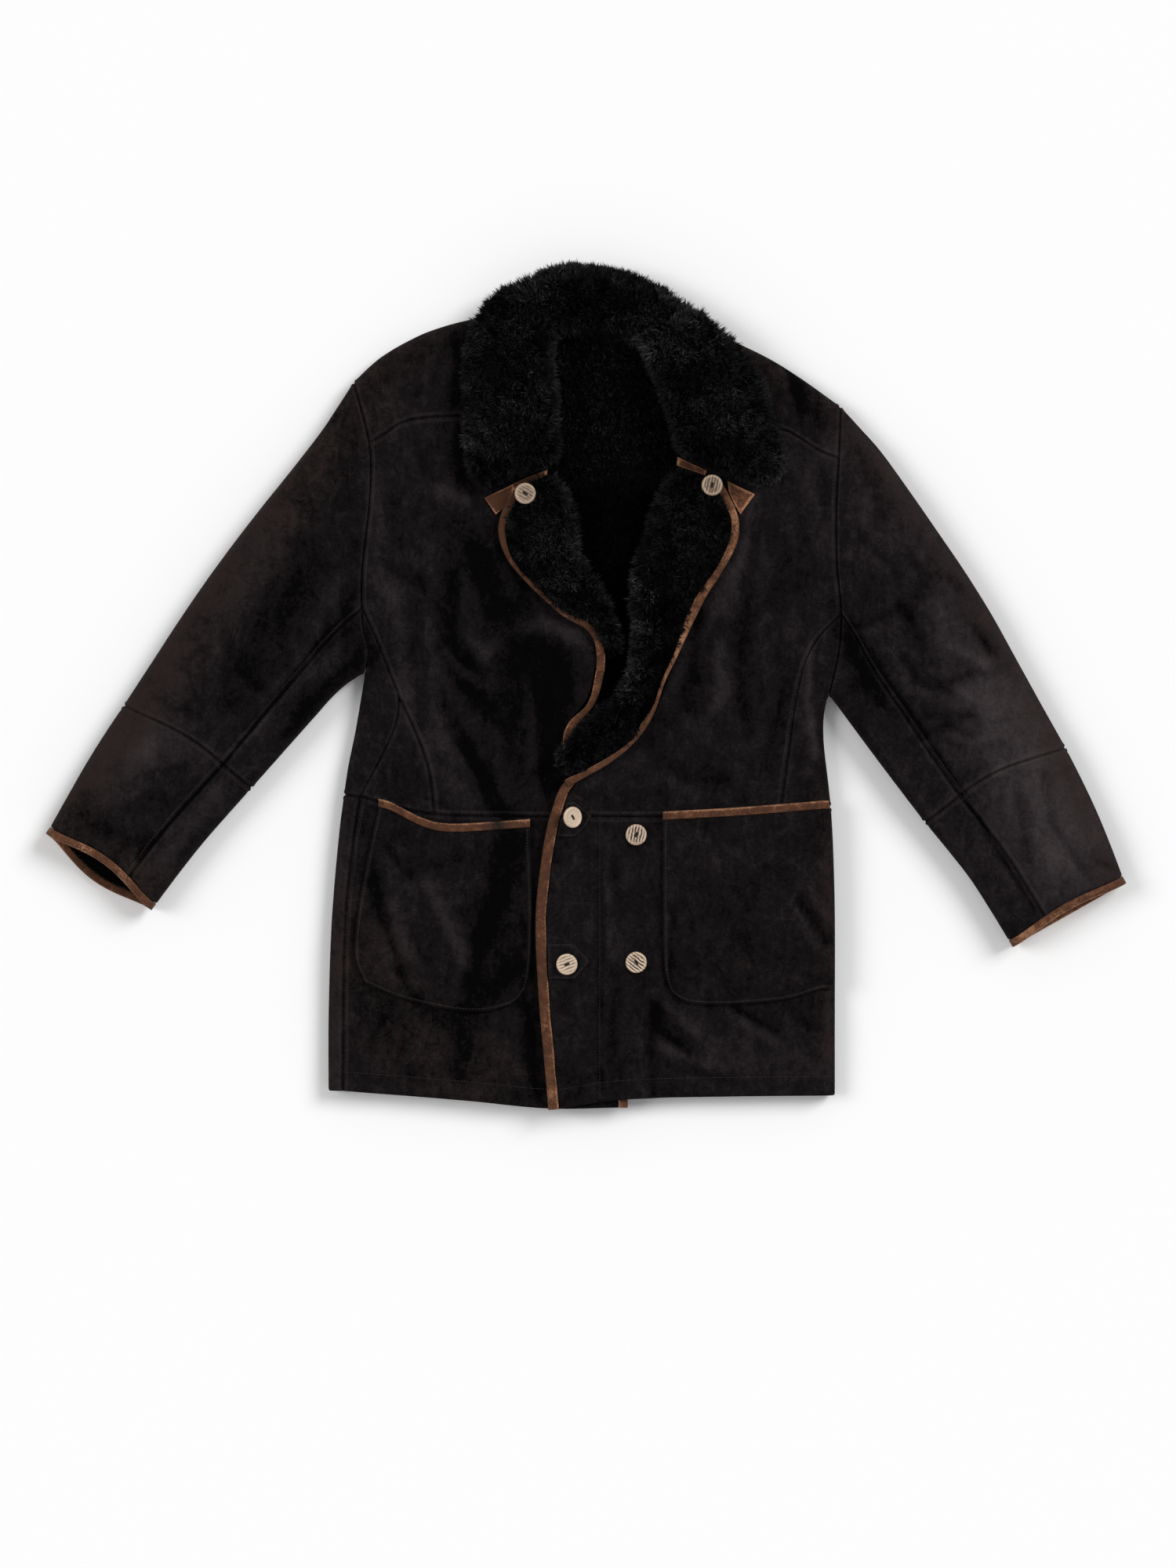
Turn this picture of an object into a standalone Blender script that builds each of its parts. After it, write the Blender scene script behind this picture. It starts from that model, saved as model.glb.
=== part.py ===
"""Double-breasted shearling coat laid flat on its back.

Metres, +Z up, +X to the wearer's left, +Y to the collar. The origin is under the middle of the coat,
on the surface it lies on. Tables and sizes below are in millimetres.
Names say the wearer's side. The back lies flat at the bottom, the fronts lie over it, and the side
panels, yokes and sleeves wrap round the folded edges between the two layers.
"""
import math
from collections import namedtuple

import bpy
import bmesh
import numpy as np

MM = 0.001
COLLECTION = "shearling_coat"

# Driving sizes
HIDE = 8.0                  # skin with its pile pressed inside the coat
SEAM_GAP = 0.3              # between two pieces at a seam
LAY_GAP = 0.6               # between a panel and what lies on it
LAID_HEIGHT = 24.0          # top of the front above the floor: two hides and the hollow between them
OVERLAP_RISE = 10.0         # how much higher the left front lies where it covers the right one
BINDING_WIDTH = 9.0
BINDING_PROUD = 1.0         # how far the binding stands out of the hide it wraps
POCKET_HIDE = 6.0
LEATHER_BIT = 1.6
BUTTON_DIAMETER = 23.0
BUTTON_THICKNESS = 4.2
ARC_ANGLES = (90, 45)       # levels round a quarter of a folded edge, in degrees
BELOW_WAIST = 9             # rows between waist seam and hem
YOKE_TO_BUST = 6            # rows beside the armhole
BUST_TO_WAIST = 8           # rows along the princess seam

Fold = namedtuple("Fold", "side from_x from_y to_x to_y width rise")
FOLDS = [                                     # side: -1 on the wearer's right half, 1 on the left
    Fold(-1, -156, 193, -137, 0, 28, -3.5),      # below the collar
    Fold(-1, -95, 120, -62, 20, 42, 6.0),        # bulge beside the lapel
    Fold(-1, -56, 38, -42, -100, 24, -7.0),      # hollow where the front dives under the other
    Fold(-1, -72, -150, -130, -263, 36, -3.5),   # pocket
    Fold(-1, -229, -228, -192, -330, 34, -2.5),  # pocket's lower corner
    Fold(1, 167, 124, 170, -47, 30, -3.5),       # down from the chest
    Fold(1, 79, -376, 117, -399, 22, 3.0),       # ridges above the hem
    Fold(1, 151, -362, 200, -376, 20, 2.5),
    Fold(-1, -332, 120, -378, -10, 28, -5.0),    # along the right sleeve
    Fold(1, 301, 69, 345, 92, 16, -4.0),         # elbow wrinkles of the left sleeve
    Fold(1, 352, 10, 420, 14, 17, -4.0),
    Fold(1, 372, -40, 424, -30, 16, -3.5),
]

WAIST_SEAM = [(-290, -116), (-250, -117), (-180, -135), (-100, -139), (0, -139),
              (90, -139), (180, -133), (250, -129), (290, -129)]

Side = namedtuple("Side", "sign shoulder armhole back_armhole_bow side_fold princess yoke_seam "
                          "neckline back_neck back_yoke_end front_edge bound "
                          "back_seam_inset sleeve_top sleeve_under band_top band_under")
RIGHT = Side(
    sign=-1,
    shoulder=[(-254, 332), (-230, 355), (-204, 372), (-168, 389), (-116, 402), (-46, 405)],
    armhole=[(-254, 332), (-241, 287), (-235, 253), (-236, 202), (-242, 151), (-245, 108),
             (-243, 70), (-236, 40), (-241, 18)],
    back_armhole_bow=12,
    side_fold=[(-241, 18), (-247, -19), (-253, -53), (-260, -87), (-266, -130), (-271, -172),
               (-278, -260), (-281, -359), (-281, -437)],
    princess=[(-244, 86), (-226, 45), (-206, -5), (-187, -46), (-172, -88), (-166, -136)],
    yoke_seam=[(-237, 265), (-215, 279), (-195, 290), (-149, 295), (-47, 296)],
    neckline=[(-46, 405), (-51, 375), (-50, 340), (-47, 296)],
    back_neck=[(-46, 405), (-40, 396), (-31, 388)],
    back_yoke_end=(-31, 388),
    front_edge=[(-47, 296), (-46, 240), (-34, 222), (-20, 190), (-16, 156), (8, 110), (20, 84),
                (24, 60), (20, 38)],
    bound=[(17, 18), (7, -4), (-4, -23), (-15, -48), (-14, -80), (2, -139), (14, -172),
           (35, -274), (43, -400), (44, -455)],
    back_seam_inset=68,
    sleeve_top=[(-254, 332), (-295, 270), (-349, 202), (-401, 134), (-448, 66), (-492, -2),
                (-538, -72), (-587, -158)],
    sleeve_under=[(-241, 18), (-269, -2), (-300, -36), (-364, -108), (-422, -174), (-473, -241)],
    band_top=(-505, -17),
    band_under=(-364, -108),
)
LEFT = Side(
    sign=1,
    shoulder=[(275, 306), (254, 321), (230, 338), (192, 361), (140, 383), (66, 398)],
    armhole=[(275, 306), (273, 253), (270, 193), (271, 134), (276, 80), (273, 40), (262, -6)],
    back_armhole_bow=12,
    side_fold=[(262, -6), (257, -30), (257, -60), (262, -104), (266, -147), (269, -240),
               (269, -359), (269, -442)],
    princess=[(276, 80), (246, 48), (230, 2), (219, -66), (210, -131)],
    yoke_seam=[(270, 249), (253, 257), (227, 273), (204, 281), (97, 292)],
    neckline=[(66, 398), (73, 372), (85, 334), (97, 292)],
    back_neck=[(66, 398), (58, 388), (48, 381)],
    back_yoke_end=(48, 381),
    front_edge=[(97, 292), (103, 262), (98, 238), (76, 195), (60, 138), (56, 108), (57, 40),
                (48, 8), (17, -24), (-12, -52), (-23, -76), (-23, -94)],
    bound=[(-30, -109), (-37, -126), (-44, -153), (-50, -189), (-56, -250), (-53, -330),
           (-47, -400), (-42, -457)],
    back_seam_inset=68,
    sleeve_top=[(275, 306), (322, 253), (358, 202), (427, 100), (484, -2), (519, -64),
                (555, -138), (584, -212)],
    sleeve_under=[(262, -6), (309, -70), (366, -145), (415, -206), (462, -281)],
    band_top=(519, -64),
    band_under=(366, -145),
)
SIDE_SEAM = [(-205, -8), (-207, -36), (-224, -75), (-246, -116)]   # right side, bust to waist
SKIRT_SEAM = [(-246, -116), (-255, -178), (-263, -271), (-265, -437)]
RIGHT_HEM = [(-265, -437), (-200, -442), (-127, -448), (-42, -456), (34, -455)]
APEX_TRIM = 0.3             # the side front's point is cut off at this share of its first row
LEFT_HEM = [(-32, -457), (39, -446), (160, -443), (269, -442)]
NECK_SEAM = [(-10, 385.5), (13, 384), (30, 383)]
HIDDEN_SEAM_INSET = 22      # left side seam, underneath, from the fold

SleeveSection = namedtuple("SleeveSection", "part along height bow_right bow_left crown")
SLEEVE_SECTIONS = [         # along: share of the way from armhole to band, then from band to cuff
    SleeveSection("arm", 0.00, 24.0, 0, 0, 0),
    SleeveSection("arm", 0.07, 26.5, 0, 0, 1),
    SleeveSection("arm", 0.15, 30.0, -1, -1, 2),
    SleeveSection("arm", 0.27, 33.0, -2, -3, 4),
    SleeveSection("arm", 0.39, 34.0, -4, -5, 4),
    SleeveSection("arm", 0.51, 34.0, -5, -7, 4),
    SleeveSection("arm", 0.63, 34.0, -6, -9, 3),
    SleeveSection("arm", 0.75, 33.5, -8, -10, 3),
    SleeveSection("arm", 0.88, 33.0, -9, -11, 3),
    SleeveSection("arm", 1.00, 32.5, -9, -12, 3),
    SleeveSection("cuff", 0.25, 32.0, -9, -11, 3),
    SleeveSection("cuff", 0.50, 32.0, -10, -9, 3),
    SleeveSection("cuff", 0.75, 32.5, -10, -7, 3),
    SleeveSection("cuff", 1.00, 33.0, -11, -6, 3),
]
MOUTH_REACH = 12            # how far the right cuff's lower rim shows past the upper one
SLEEVE_SEAM = {-1: (0.763, 0.716), 1: (0.733, 0.68)}   # share across at band and cuff, by side
HIND_SEAM = 0.45            # the same for the seam underneath

CollarSection = namedtuple("CollarSection", "in_x in_y out_x out_y floor back")
COLLAR_SECTIONS = [         # floor: height of the underside; back: 0 on the lobes, 1 behind the neck
    CollarSection(-39, 239, -112, 208, 25, 0),
    CollarSection(-34, 262, -126, 240, 25, 0),
    CollarSection(-35, 290, -131, 277, 25, 0),
    CollarSection(-37, 320, -130, 314, 25, 0),
    CollarSection(-40, 348, -131, 350, 25, 0),
    CollarSection(-39, 370, -127, 383, 25, 0.1),
    CollarSection(-32, 386, -113, 411, 25, 0.35),
    CollarSection(-22, 389, -84, 432, 24, 0.65),
    CollarSection(-9, 387, -54, 445, 18, 0.9),
    CollarSection(3, 386, -26, 456, 5, 1),
    CollarSection(13, 385, 2, 460, 0, 1),
    CollarSection(22, 384, 26, 457, 0, 1),
    CollarSection(32, 383, 50, 447, 5, 1),
    CollarSection(43, 382, 76, 432, 18, 0.9),
    CollarSection(53, 381, 101, 414, 24, 0.65),
    CollarSection(62, 372, 130, 397, 25, 0.35),
    CollarSection(69, 354, 160, 371, 25, 0.1),
    CollarSection(77, 332, 186, 338, 25, 0),
    CollarSection(85, 310, 198, 302, 25, 0),
    CollarSection(92, 288, 207, 268, 25, 0),
    CollarSection(97, 268, 213, 236, 25, 0),
    CollarSection(99, 254, 182, 212, 25, 0),
]
CollarProfile = namedtuple("CollarProfile", "across lobe_top lobe_under back_top back_under")
COLLAR_PROFILE = [          # heights above the floor; under: above the section's own underside
    CollarProfile(0.00, 42, 4, 15, 0),
    CollarProfile(0.07, 51, 0, 21, 0),
    CollarProfile(0.25, 57, 0, 34, 0),
    CollarProfile(0.50, 55, 0, 47, 0),
    CollarProfile(0.75, 50, 0, 48, 0),
    CollarProfile(0.92, 45, 0, 38, 1),
    CollarProfile(1.00, 38, 4, 27, 6),
]

LapelSection = namedtuple("LapelSection", "roll_x roll_y edge_x edge_y pile")
RIGHT_LAPEL = [             # roll: the folded edge; edge: the cut edge; pile: height over the front
    LapelSection(-41, 233, -79, 214, 15),
    LapelSection(-27, 218, -92, 192, 17),
    LapelSection(-16, 196, -96, 168, 18),
    LapelSection(-12, 170, -88, 143, 18),
    LapelSection(-10, 148, -72, 122, 18),
    LapelSection(-1, 130, -52, 102, 18),
    LapelSection(13, 110, -26, 80, 17),
    LapelSection(24, 88, 0, 67, 16),
    LapelSection(33, 64, 13, 54, 15),
    LapelSection(34, 46, 17, 40, 13),
    LapelSection(32, 33, 17.5, 29, 11),
]
LEFT_LAPEL = [
    LapelSection(93, 238, 146, 223, 15),
    LapelSection(82, 215, 156, 204, 17),
    LapelSection(72, 192, 164, 182, 18),
    LapelSection(65, 164, 162, 156, 18),
    LapelSection(53, 134, 145, 124, 18),
    LapelSection(49, 106, 129, 99, 18),
    LapelSection(51, 76, 113, 67, 18),
    LapelSection(51, 42, 98, 35, 18),
    LapelSection(44, 12, 84, 6, 17),
    LapelSection(31, -8, 68, -29, 17),
    LapelSection(10, -27, 52, -57, 16),
    LapelSection(-10, -47, 28, -75, 15),
    LapelSection(-28, -66, 2, -90, 14),
    LapelSection(-37, -85, -18, -101, 12),
]
LAPEL_STEPS = 2             # places along a lapel for each section
LAPEL_EDGE = 8.0            # thickness of its bound edge
LAPEL_ACROSS = (0.0, 0.12, 0.42, 0.78, 1.0)
LAPEL_CROWN = (0.62, 0.93, 1.0, 0.88, 0.6)    # share of the pile's height, roll to edge

RIGHT_LAPEL_TAIL = (17, 20)  # its binding runs on to where the front's begins

POCKETS = {
    "right": {
        "top": [(-226, -129), (-212, -133), (-178, -150), (-144, -156), (-62, -151)],
        "outer": [(-226, -129), (-244, -215), (-252, -285), (-241, -319)],
        "bottom": [(-241, -319), (-195, -338), (-127, -351), (-84, -343), (-68, -326)],
        "inner": [(-62, -151), (-60, -257), (-63, -305), (-68, -326)],
    },
    "left": {
        "top": [(256, -131), (170, -138), (82, -143)],
        "outer": [(256, -131), (257, -200), (257, -290), (253, -326)],
        "bottom": [(253, -326), (213, -338), (150, -343), (111, -341), (92, -330)],
        "inner": [(82, -143), (82, -230), (84, -305), (92, -330)],
    },
}
POCKET_ARC = (75, 60)       # the left pocket runs on round the folded side to this angle

GORGE_STRIPS = {"right": [(-43, 236.5), (-68, 225.5), (-60, 222.5), (-44, 231)],
                "left": [(98, 250.5), (130, 235), (128, 230.5), (97, 241.5)]}
COLLAR_TABS = {"right": [(-112, 206), (-84, 219), (-85, 213.5), (-99, 188)],
               "left": [(182, 210), (154, 224.5), (157, 214), (166, 188)]}
BUTTONHOLE_PATCHES = {
    "upper": [(-23, -125), (-14, -123), (5, -138), (-2, -150), (-14, -161), (-33, -161)],
    "lower": [(-43, -277), (-14, -277), (3, -296), (-14, -315), (-42, -315)],
}
Button = namedtuple("Button", "name x y base tilt")
BUTTONS = [                 # base: height of the middle of its underside
    Button("right_lapel_button", -67, 210, 41.3, 0),
    Button("left_lapel_button", 135, 219, 39.8, 0),
    Button("upper_inner_button", -17, -140, 42.6, 34),
    Button("upper_outer_button", 53, -159, 28.4, 0),
    Button("lower_inner_button", -22, -299, 36.8, 0),
    Button("lower_outer_button", 53, -297, 34.2, 0),
]

SUEDE = ("dark_suede", (0.020, 0.015, 0.014), 0.9)
FUR = ("black_pile", (0.006, 0.006, 0.007), 1.0)
BINDING = ("brown_binding", (0.15, 0.062, 0.028), 0.8)
HORN = ("pale_horn", (0.42, 0.33, 0.23), 0.45)


# Paths in the plan

def eased(points, fine=8):
    """Dense points on a smooth curve through the given ones."""
    p = np.array(points, float)
    p = np.vstack([2 * p[0] - p[1], p, 2 * p[-1] - p[-2]])
    out = []
    for a, b, c, d in zip(p[:-3], p[1:-2], p[2:-1], p[3:]):
        for t in np.arange(fine) / fine:
            out.append(0.5 * (2 * b + (c - a) * t + (2 * a - 5 * b + 4 * c - d) * t ** 2
                              + (3 * b - 3 * c + d - a) * t ** 3))
    out.append(p[-2])
    return np.array(out)


class Path:
    """A line in the plan, read by the distance along it."""

    def __init__(self, points):
        self.points = np.array(points, float)
        steps = np.linalg.norm(np.diff(self.points, axis=0), axis=1)
        self.reach = np.concatenate([[0.0], np.cumsum(steps)])
        self.length = self.reach[-1]

    def at(self, distance):
        return np.stack([np.interp(distance, self.reach, column) for column in self.points.T], -1)

    def spaced(self, count, start=0.0, end=None):
        return self.at(np.linspace(start, self.length if end is None else end, count))

    def reversed(self):
        return Path(self.points[::-1])

    def nearest(self, point):
        fine = np.linspace(0, self.length, 2000)
        gaps = np.linalg.norm(self.at(fine) - np.array(point, float), axis=1)
        return fine[np.argmin(gaps)]


def along_x(points, x):
    """Height in the plan of a line that runs across the coat."""
    dense = eased(points)
    return np.interp(x, dense[:, 0], dense[:, 1])


def waist_y(x):
    return along_x(WAIST_SEAM, x)


def hidden_edge_x(y):
    """The right front's edge under the left front."""
    dense = eased(RIGHT.bound)[::-1]
    return np.interp(y, dense[:, 1], dense[:, 0])


def beside(points, distance):
    """The line moved to its left by a distance, kept parallel round its corners."""
    p = np.asarray(points, float)
    run = np.diff(p, axis=0)
    run /= np.linalg.norm(run, axis=1)[:, None]
    normals = np.stack([-run[:, 1], run[:, 0]], 1)
    before, after = np.vstack([normals[:1], normals]), np.vstack([normals, normals[-1:]])
    mitre = (before + after) / (1 + (before * after).sum(1))[:, None]
    return p + distance * mitre


def coons(left, right, bottom, top):
    """Grid between four boundary lines; its first row is bottom and its first column is left."""
    v = np.linspace(0, 1, len(left))[:, None, None]
    u = np.linspace(0, 1, len(bottom))[None, :, None]
    left, right = np.array(left)[:, None], np.array(right)[:, None]
    bottom, top = np.array(bottom)[None], np.array(top)[None]
    across = (1 - u) * left + u * right
    up = (1 - v) * bottom + v * top
    corners = ((1 - v) * ((1 - u) * left[0] + u * right[0])
               + v * ((1 - u) * left[-1] + u * right[-1]))
    return across + up - corners


def smooth_step(x):
    x = np.clip(x, 0, 1)
    return x * x * (3 - 2 * x)


# Heights

def fold_rise(p, side):
    """How far the folds of one half lift or sink its top layer at points in the plan."""
    p = np.asarray(p, float)
    rise = np.zeros(p.shape[:-1])
    for fold in FOLDS:
        if fold.side != side:
            continue
        start = np.array([fold.from_x, fold.from_y], float)
        run = np.array([fold.to_x, fold.to_y], float) - start
        share = ((p - start) @ run) / (run @ run)
        beside = p - start - np.clip(share, 0, 1)[..., None] * run
        rise += fold.rise * np.exp(-(beside ** 2).sum(-1) / fold.width ** 2)
    return rise


def right_height(p):
    return LAID_HEIGHT + fold_rise(p, -1)


def left_height(p):
    """The left front climbs over the right one and comes down past its hidden edge.

    It comes down slowly beside the lapel and more steeply on the skirt.
    """
    p = np.asarray(p, float)
    across, up = p[..., 0], p[..., 1]
    skirt = smooth_step((-70 - up) / 90)
    shelf = 64 - 52 * skirt
    slope = 76 - 46 * skirt
    sideways = 1 - smooth_step((across - hidden_edge_x(up) - shelf) / slope)
    upward = smooth_step((115 - up) / 120)
    return LAID_HEIGHT + fold_rise(p, 1) + OVERLAP_RISE * sideways * upward


# Solids

def material(finish):
    name, colour, roughness = finish
    found = bpy.data.materials.get(name)
    if found:
        return found
    made = bpy.data.materials.new(name)
    made.use_nodes = True
    shader = made.node_tree.nodes["Principled BSDF"]
    shader.inputs["Base Color"].default_value = (*colour, 1)
    shader.inputs["Roughness"].default_value = roughness
    shader.inputs["Metallic"].default_value = 0
    return made


def add_solid(name, verts, faces, finish):
    """One closed mesh in metres, its faces turned outwards."""
    mesh = bpy.data.meshes.new(name)
    mesh.from_pydata((np.asarray(verts) * MM).tolist(), [], faces)
    form = bmesh.new()
    form.from_mesh(mesh)
    bmesh.ops.recalc_face_normals(form, faces=form.faces)
    form.to_mesh(mesh)
    form.free()
    mesh.shade_smooth()
    mesh.set_sharp_from_angle(angle=math.radians(50))
    mesh.materials.append(material(finish))
    solid = bpy.data.objects.new(name, mesh)
    bpy.data.collections[COLLECTION].objects.link(solid)
    return solid


def wall(name, outer, inner, finish, closed=False):
    """Closed wall between two grids of rows and columns; closed joins the last row to the first."""
    rows, cols = outer.shape[:2]
    verts = np.vstack([outer.reshape(-1, 3), inner.reshape(-1, 3)])
    shift = rows * cols
    at = lambda row, col: (row % rows) * cols + col
    faces = []
    for row in range(rows if closed else rows - 1):
        for col in range(cols - 1):
            a, b, c, d = at(row, col), at(row, col + 1), at(row + 1, col + 1), at(row + 1, col)
            faces.append((a, b, c, d))
            faces.append((shift + d, shift + c, shift + b, shift + a))
        for col in (0, cols - 1):
            a, b = at(row, col), at(row + 1, col)
            faces.append((a, b, shift + b, shift + a))
    if not closed:
        for row in (0, rows - 1):
            for col in range(cols - 1):
                a, b = at(row, col), at(row, col + 1)
                faces.append((a, b, shift + b, shift + a))
    return add_solid(name, verts, faces, finish)


def drawn_in(grid, step=SEAM_GAP / 2):
    """The grid with its four edges moved in, so that a gap is left at each seam."""
    grid = grid.copy()
    for flip in (False, True):
        g = grid.transpose(1, 0, 2) if flip else grid
        moved = []
        for edge, next_in in ((0, 1), (-1, -2)):
            run = np.gradient(g[edge], axis=0)
            run /= np.linalg.norm(run, axis=1)[:, None]
            inward = g[next_in] - g[edge]
            inward -= (inward * run).sum(1)[:, None] * run
            inward /= np.linalg.norm(inward, axis=1)[:, None]
            moved.append(g[edge] + step * inward)
        g[0], g[-1] = moved
    return grid


def seamed_wall(name, outer, inner, finish=SUEDE):
    return wall(name, drawn_in(outer), drawn_in(inner), finish)


def flat_panel(name, plan, height, finish=SUEDE):
    """A panel of the top layer."""
    top = height(plan)
    outer = np.dstack([plan, top])
    inner = np.dstack([plan, top - HIDE])
    return seamed_wall(name, outer, inner, finish)


def back_panel(name, plan):
    """A panel of the bottom layer, flat on the floor."""
    floor = np.zeros(plan.shape[:2])
    return seamed_wall(name, np.dstack([plan, floor]), np.dstack([plan, floor + HIDE]))


def fold_row(top, under, top_stops, under_stops, lift, hide=HIDE):
    """One row of a panel that wraps a folded edge: top seam, fold, seam underneath.

    top and under are paths that start at the fold; stops are distances along them.
    lift gives the height of the top layer for points and their distances from the fold.
    """
    probe = np.array([LAID_HEIGHT / 2])
    radius = float(lift(top.at(probe), probe)[0]) / 2
    bore = radius - hide
    outer, inner = [], []

    def flat(path, stops, heights, depth):
        for point, z in zip(path.at(np.array(stops)), heights):
            outer.append((*point, z))
            inner.append((*point, z + depth))

    def arc(path, angle, sense):
        sine, cosine = math.sin(math.radians(angle)), math.cos(math.radians(angle))
        outer.append((*path.at(radius * (1 - cosine)), radius + sense * radius * sine))
        inner.append((*path.at(radius - bore * cosine), radius + sense * bore * sine))

    stops = np.array(top_stops[::-1])
    flat(top, stops, lift(top.at(stops), stops), -hide)
    for angle in ARC_ANGLES:
        arc(top, angle, 1)
    outer.append((*top.at(0.0), radius))
    inner.append((*(top.at(hide) + under.at(hide)) / 2, radius))
    for angle in ARC_ANGLES[::-1]:
        arc(under, angle, -1)
    flat(under, under_stops, np.zeros(len(under_stops)), hide)
    return np.array(outer), np.array(inner)


def wrapped_panel(name, rows):
    """A panel from rows made by fold_row."""
    outer = np.array([row[0] for row in rows])
    inner = np.array([row[1] for row in rows])
    return seamed_wall(name, outer, inner)


# Armholes: the fronts, yokes, side panels, back and sleeve share these points

ARMHOLE_STEPS = 24
YOKE_ROWS = 13              # across the shoulder; every third one is a corner of the back yoke seam
BACK_YOKE_DEPTH = 75.0
BACK_SIDE_SEAM_UP = 60.0


class Armhole:
    """The seam ring of one sleeve, with the distances at which other seams meet it."""

    def __init__(self, side):
        self.side = side
        self.top = Path(Path(eased(side.armhole)).spaced(ARMHOLE_STEPS + 1))
        tip, pit = self.top.points[0], self.top.points[-1]
        share = np.linspace(0, 1, ARMHOLE_STEPS + 1)[:, None]
        bow = np.array([-side.sign * side.back_armhole_bow, 0.0])
        self.under = Path(tip + (pit - tip) * share + bow * np.sin(math.pi * share))
        self.yoke = self.top.nearest(side.yoke_seam[0])
        self.bust = self.top.nearest(side.princess[0])
        self.hind = HIND_SEAM * self.under.length
        self.back_side = self.under.length - BACK_SIDE_SEAM_UP
        self.radius = LAID_HEIGHT / 2

    def yoke_stops(self):
        return [(self.radius + self.yoke) / 2, self.yoke]

    def front_stops(self):
        return list(np.linspace(self.yoke, self.bust, YOKE_TO_BUST + 1))

    def side_stops(self):
        reach = self.top.length - self.bust
        return [(self.radius + reach) / 2, reach]

    def back_yoke_stops(self):
        return [(self.radius + BACK_YOKE_DEPTH) / 2, BACK_YOKE_DEPTH]

    def back_side_stops(self):
        return [(self.radius + BACK_SIDE_SEAM_UP) / 2, BACK_SIDE_SEAM_UP]

    def back_stops(self):
        upper = np.linspace(BACK_YOKE_DEPTH, self.hind, 3)
        lower = np.linspace(self.hind, self.back_side, 4)
        return list(upper) + list(lower[1:])


def torso_lift(height):
    return lambda points, distances: height(points)


# Body of the coat

FOLD_LEAD = 16.0            # a long row leaves a folded side square to it for this far
LONG_ROW = 30.0


def side_rows(side, seam_points, under_points, fold_points, height, armhole=None):
    """Rows of a side panel from its top to its bottom; the first may follow the armhole."""
    rows = []
    for number, (seam, under, fold) in enumerate(zip(seam_points, under_points, fold_points)):
        if armhole and number == 0:
            rows.append(fold_row(armhole.top.reversed(), armhole.under.reversed(),
                                 armhole.side_stops(), armhole.back_side_stops(),
                                 torso_lift(height)))
            continue
        lead = fold + np.array([-side.sign * FOLD_LEAD, 0.0])
        near = np.linalg.norm(seam - fold) < LONG_ROW
        top = Path([fold, seam] if near else [fold, lead, seam])
        beneath = Path([fold, lead, under])
        rows.append(fold_row(top, beneath, halfway_stops(top), halfway_stops(beneath),
                             torso_lift(height)))
    return rows


def halfway_stops(path):
    """Stops at the middle and the end of what lies past the rounded fold."""
    return [(path.length + LAID_HEIGHT / 2) / 2, path.length]


def side_lines(side, armhole):
    """Fold and back side seam of one side, as rows above and below the waist."""
    fold = Path(eased(side.side_fold))
    waist = fold.nearest((side.sign * 265, waist_y(side.sign * 265)))
    fold_upper = fold.spaced(BUST_TO_WAIST + 1, 0, waist)
    fold_lower = fold.spaced(BELOW_WAIST + 1, waist)
    inset = np.array([-side.sign * side.back_seam_inset, 0.0])
    pit_seam = armhole.under.at(armhole.back_side)
    seam_upper = Path(eased([pit_seam, (pit_seam + fold_upper[-1] + inset) / 2,
                             fold_upper[-1] + inset])).spaced(BUST_TO_WAIST + 1)
    seam_lower = fold_lower + inset
    return fold_upper, fold_lower, seam_upper, seam_lower


def waist_line(start_x, end_x, count):
    x = np.linspace(start_x, end_x, count)
    return np.stack([x, waist_y(x)], 1)


def front_edges(side):
    """Front edge of the hide inside its binding, as rows above and below the waist."""
    bound = beside(eased(side.bound), side.sign * (BINDING_WIDTH + SEAM_GAP / 2))
    whole = Path(np.vstack([eased(side.front_edge), bound]))
    heights = whole.points[:, 1]
    waist = np.argmax(heights < waist_y(whole.points[:, 0]))
    crossing = whole.reach[waist]
    upper = whole.spaced(YOKE_TO_BUST + BUST_TO_WAIST + 1, 0, crossing)
    upper[-1, 1] = waist_y(upper[-1, 0])
    lower = whole.spaced(BELOW_WAIST + 1, crossing)
    lower[0] = upper[-1]
    return upper, lower


def front_upper(name, side, armhole, princess_points, edge, height):
    """From the yoke seam to the waist, between armhole, princess seam and front edge."""
    outer = np.vstack([armhole.top.at(np.array(armhole.front_stops())), princess_points[1:]])
    top = Path(eased([outer[0]] + side.yoke_seam[1:])).spaced(YOKE_ROWS)
    bottom = waist_line(outer[-1, 0], edge[-1, 0], YOKE_ROWS)
    flat_panel(name, coons(outer[::-1], edge[::-1], bottom, top), height)


def yoke(name, side, armhole, height):
    """Over the shoulder, from the front yoke seam to the one behind."""
    rows_across = YOKE_ROWS
    shoulder = Path(eased(side.shoulder)).spaced(rows_across)
    front = Path(eased([armhole.top.at(armhole.yoke)] + side.yoke_seam[1:])).spaced(rows_across)
    corners = np.arange(0, rows_across, 3)
    behind_points = np.stack([np.interp(np.arange(rows_across), corners, column)
                              for column in back_yoke_line(side, armhole).T], 1)
    neck_front, neck_back = Path(eased(side.neckline)), Path(eased(side.back_neck))
    rows = []
    for number in range(rows_across):
        if number == 0:
            top, under = armhole.top, armhole.under
            top_stops, under_stops = armhole.yoke_stops(), armhole.back_yoke_stops()
        elif number == rows_across - 1:
            top, under = neck_front, neck_back
            top_stops, under_stops = halfway_stops(top), halfway_stops(under)
        else:
            top = Path([shoulder[number], front[number]])
            under = Path([shoulder[number], behind_points[number]])
            top_stops, under_stops = halfway_stops(top), halfway_stops(under)
        rows.append(fold_row(top, under, top_stops, under_stops, torso_lift(height)))
    wrapped_panel(name, rows)


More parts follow.
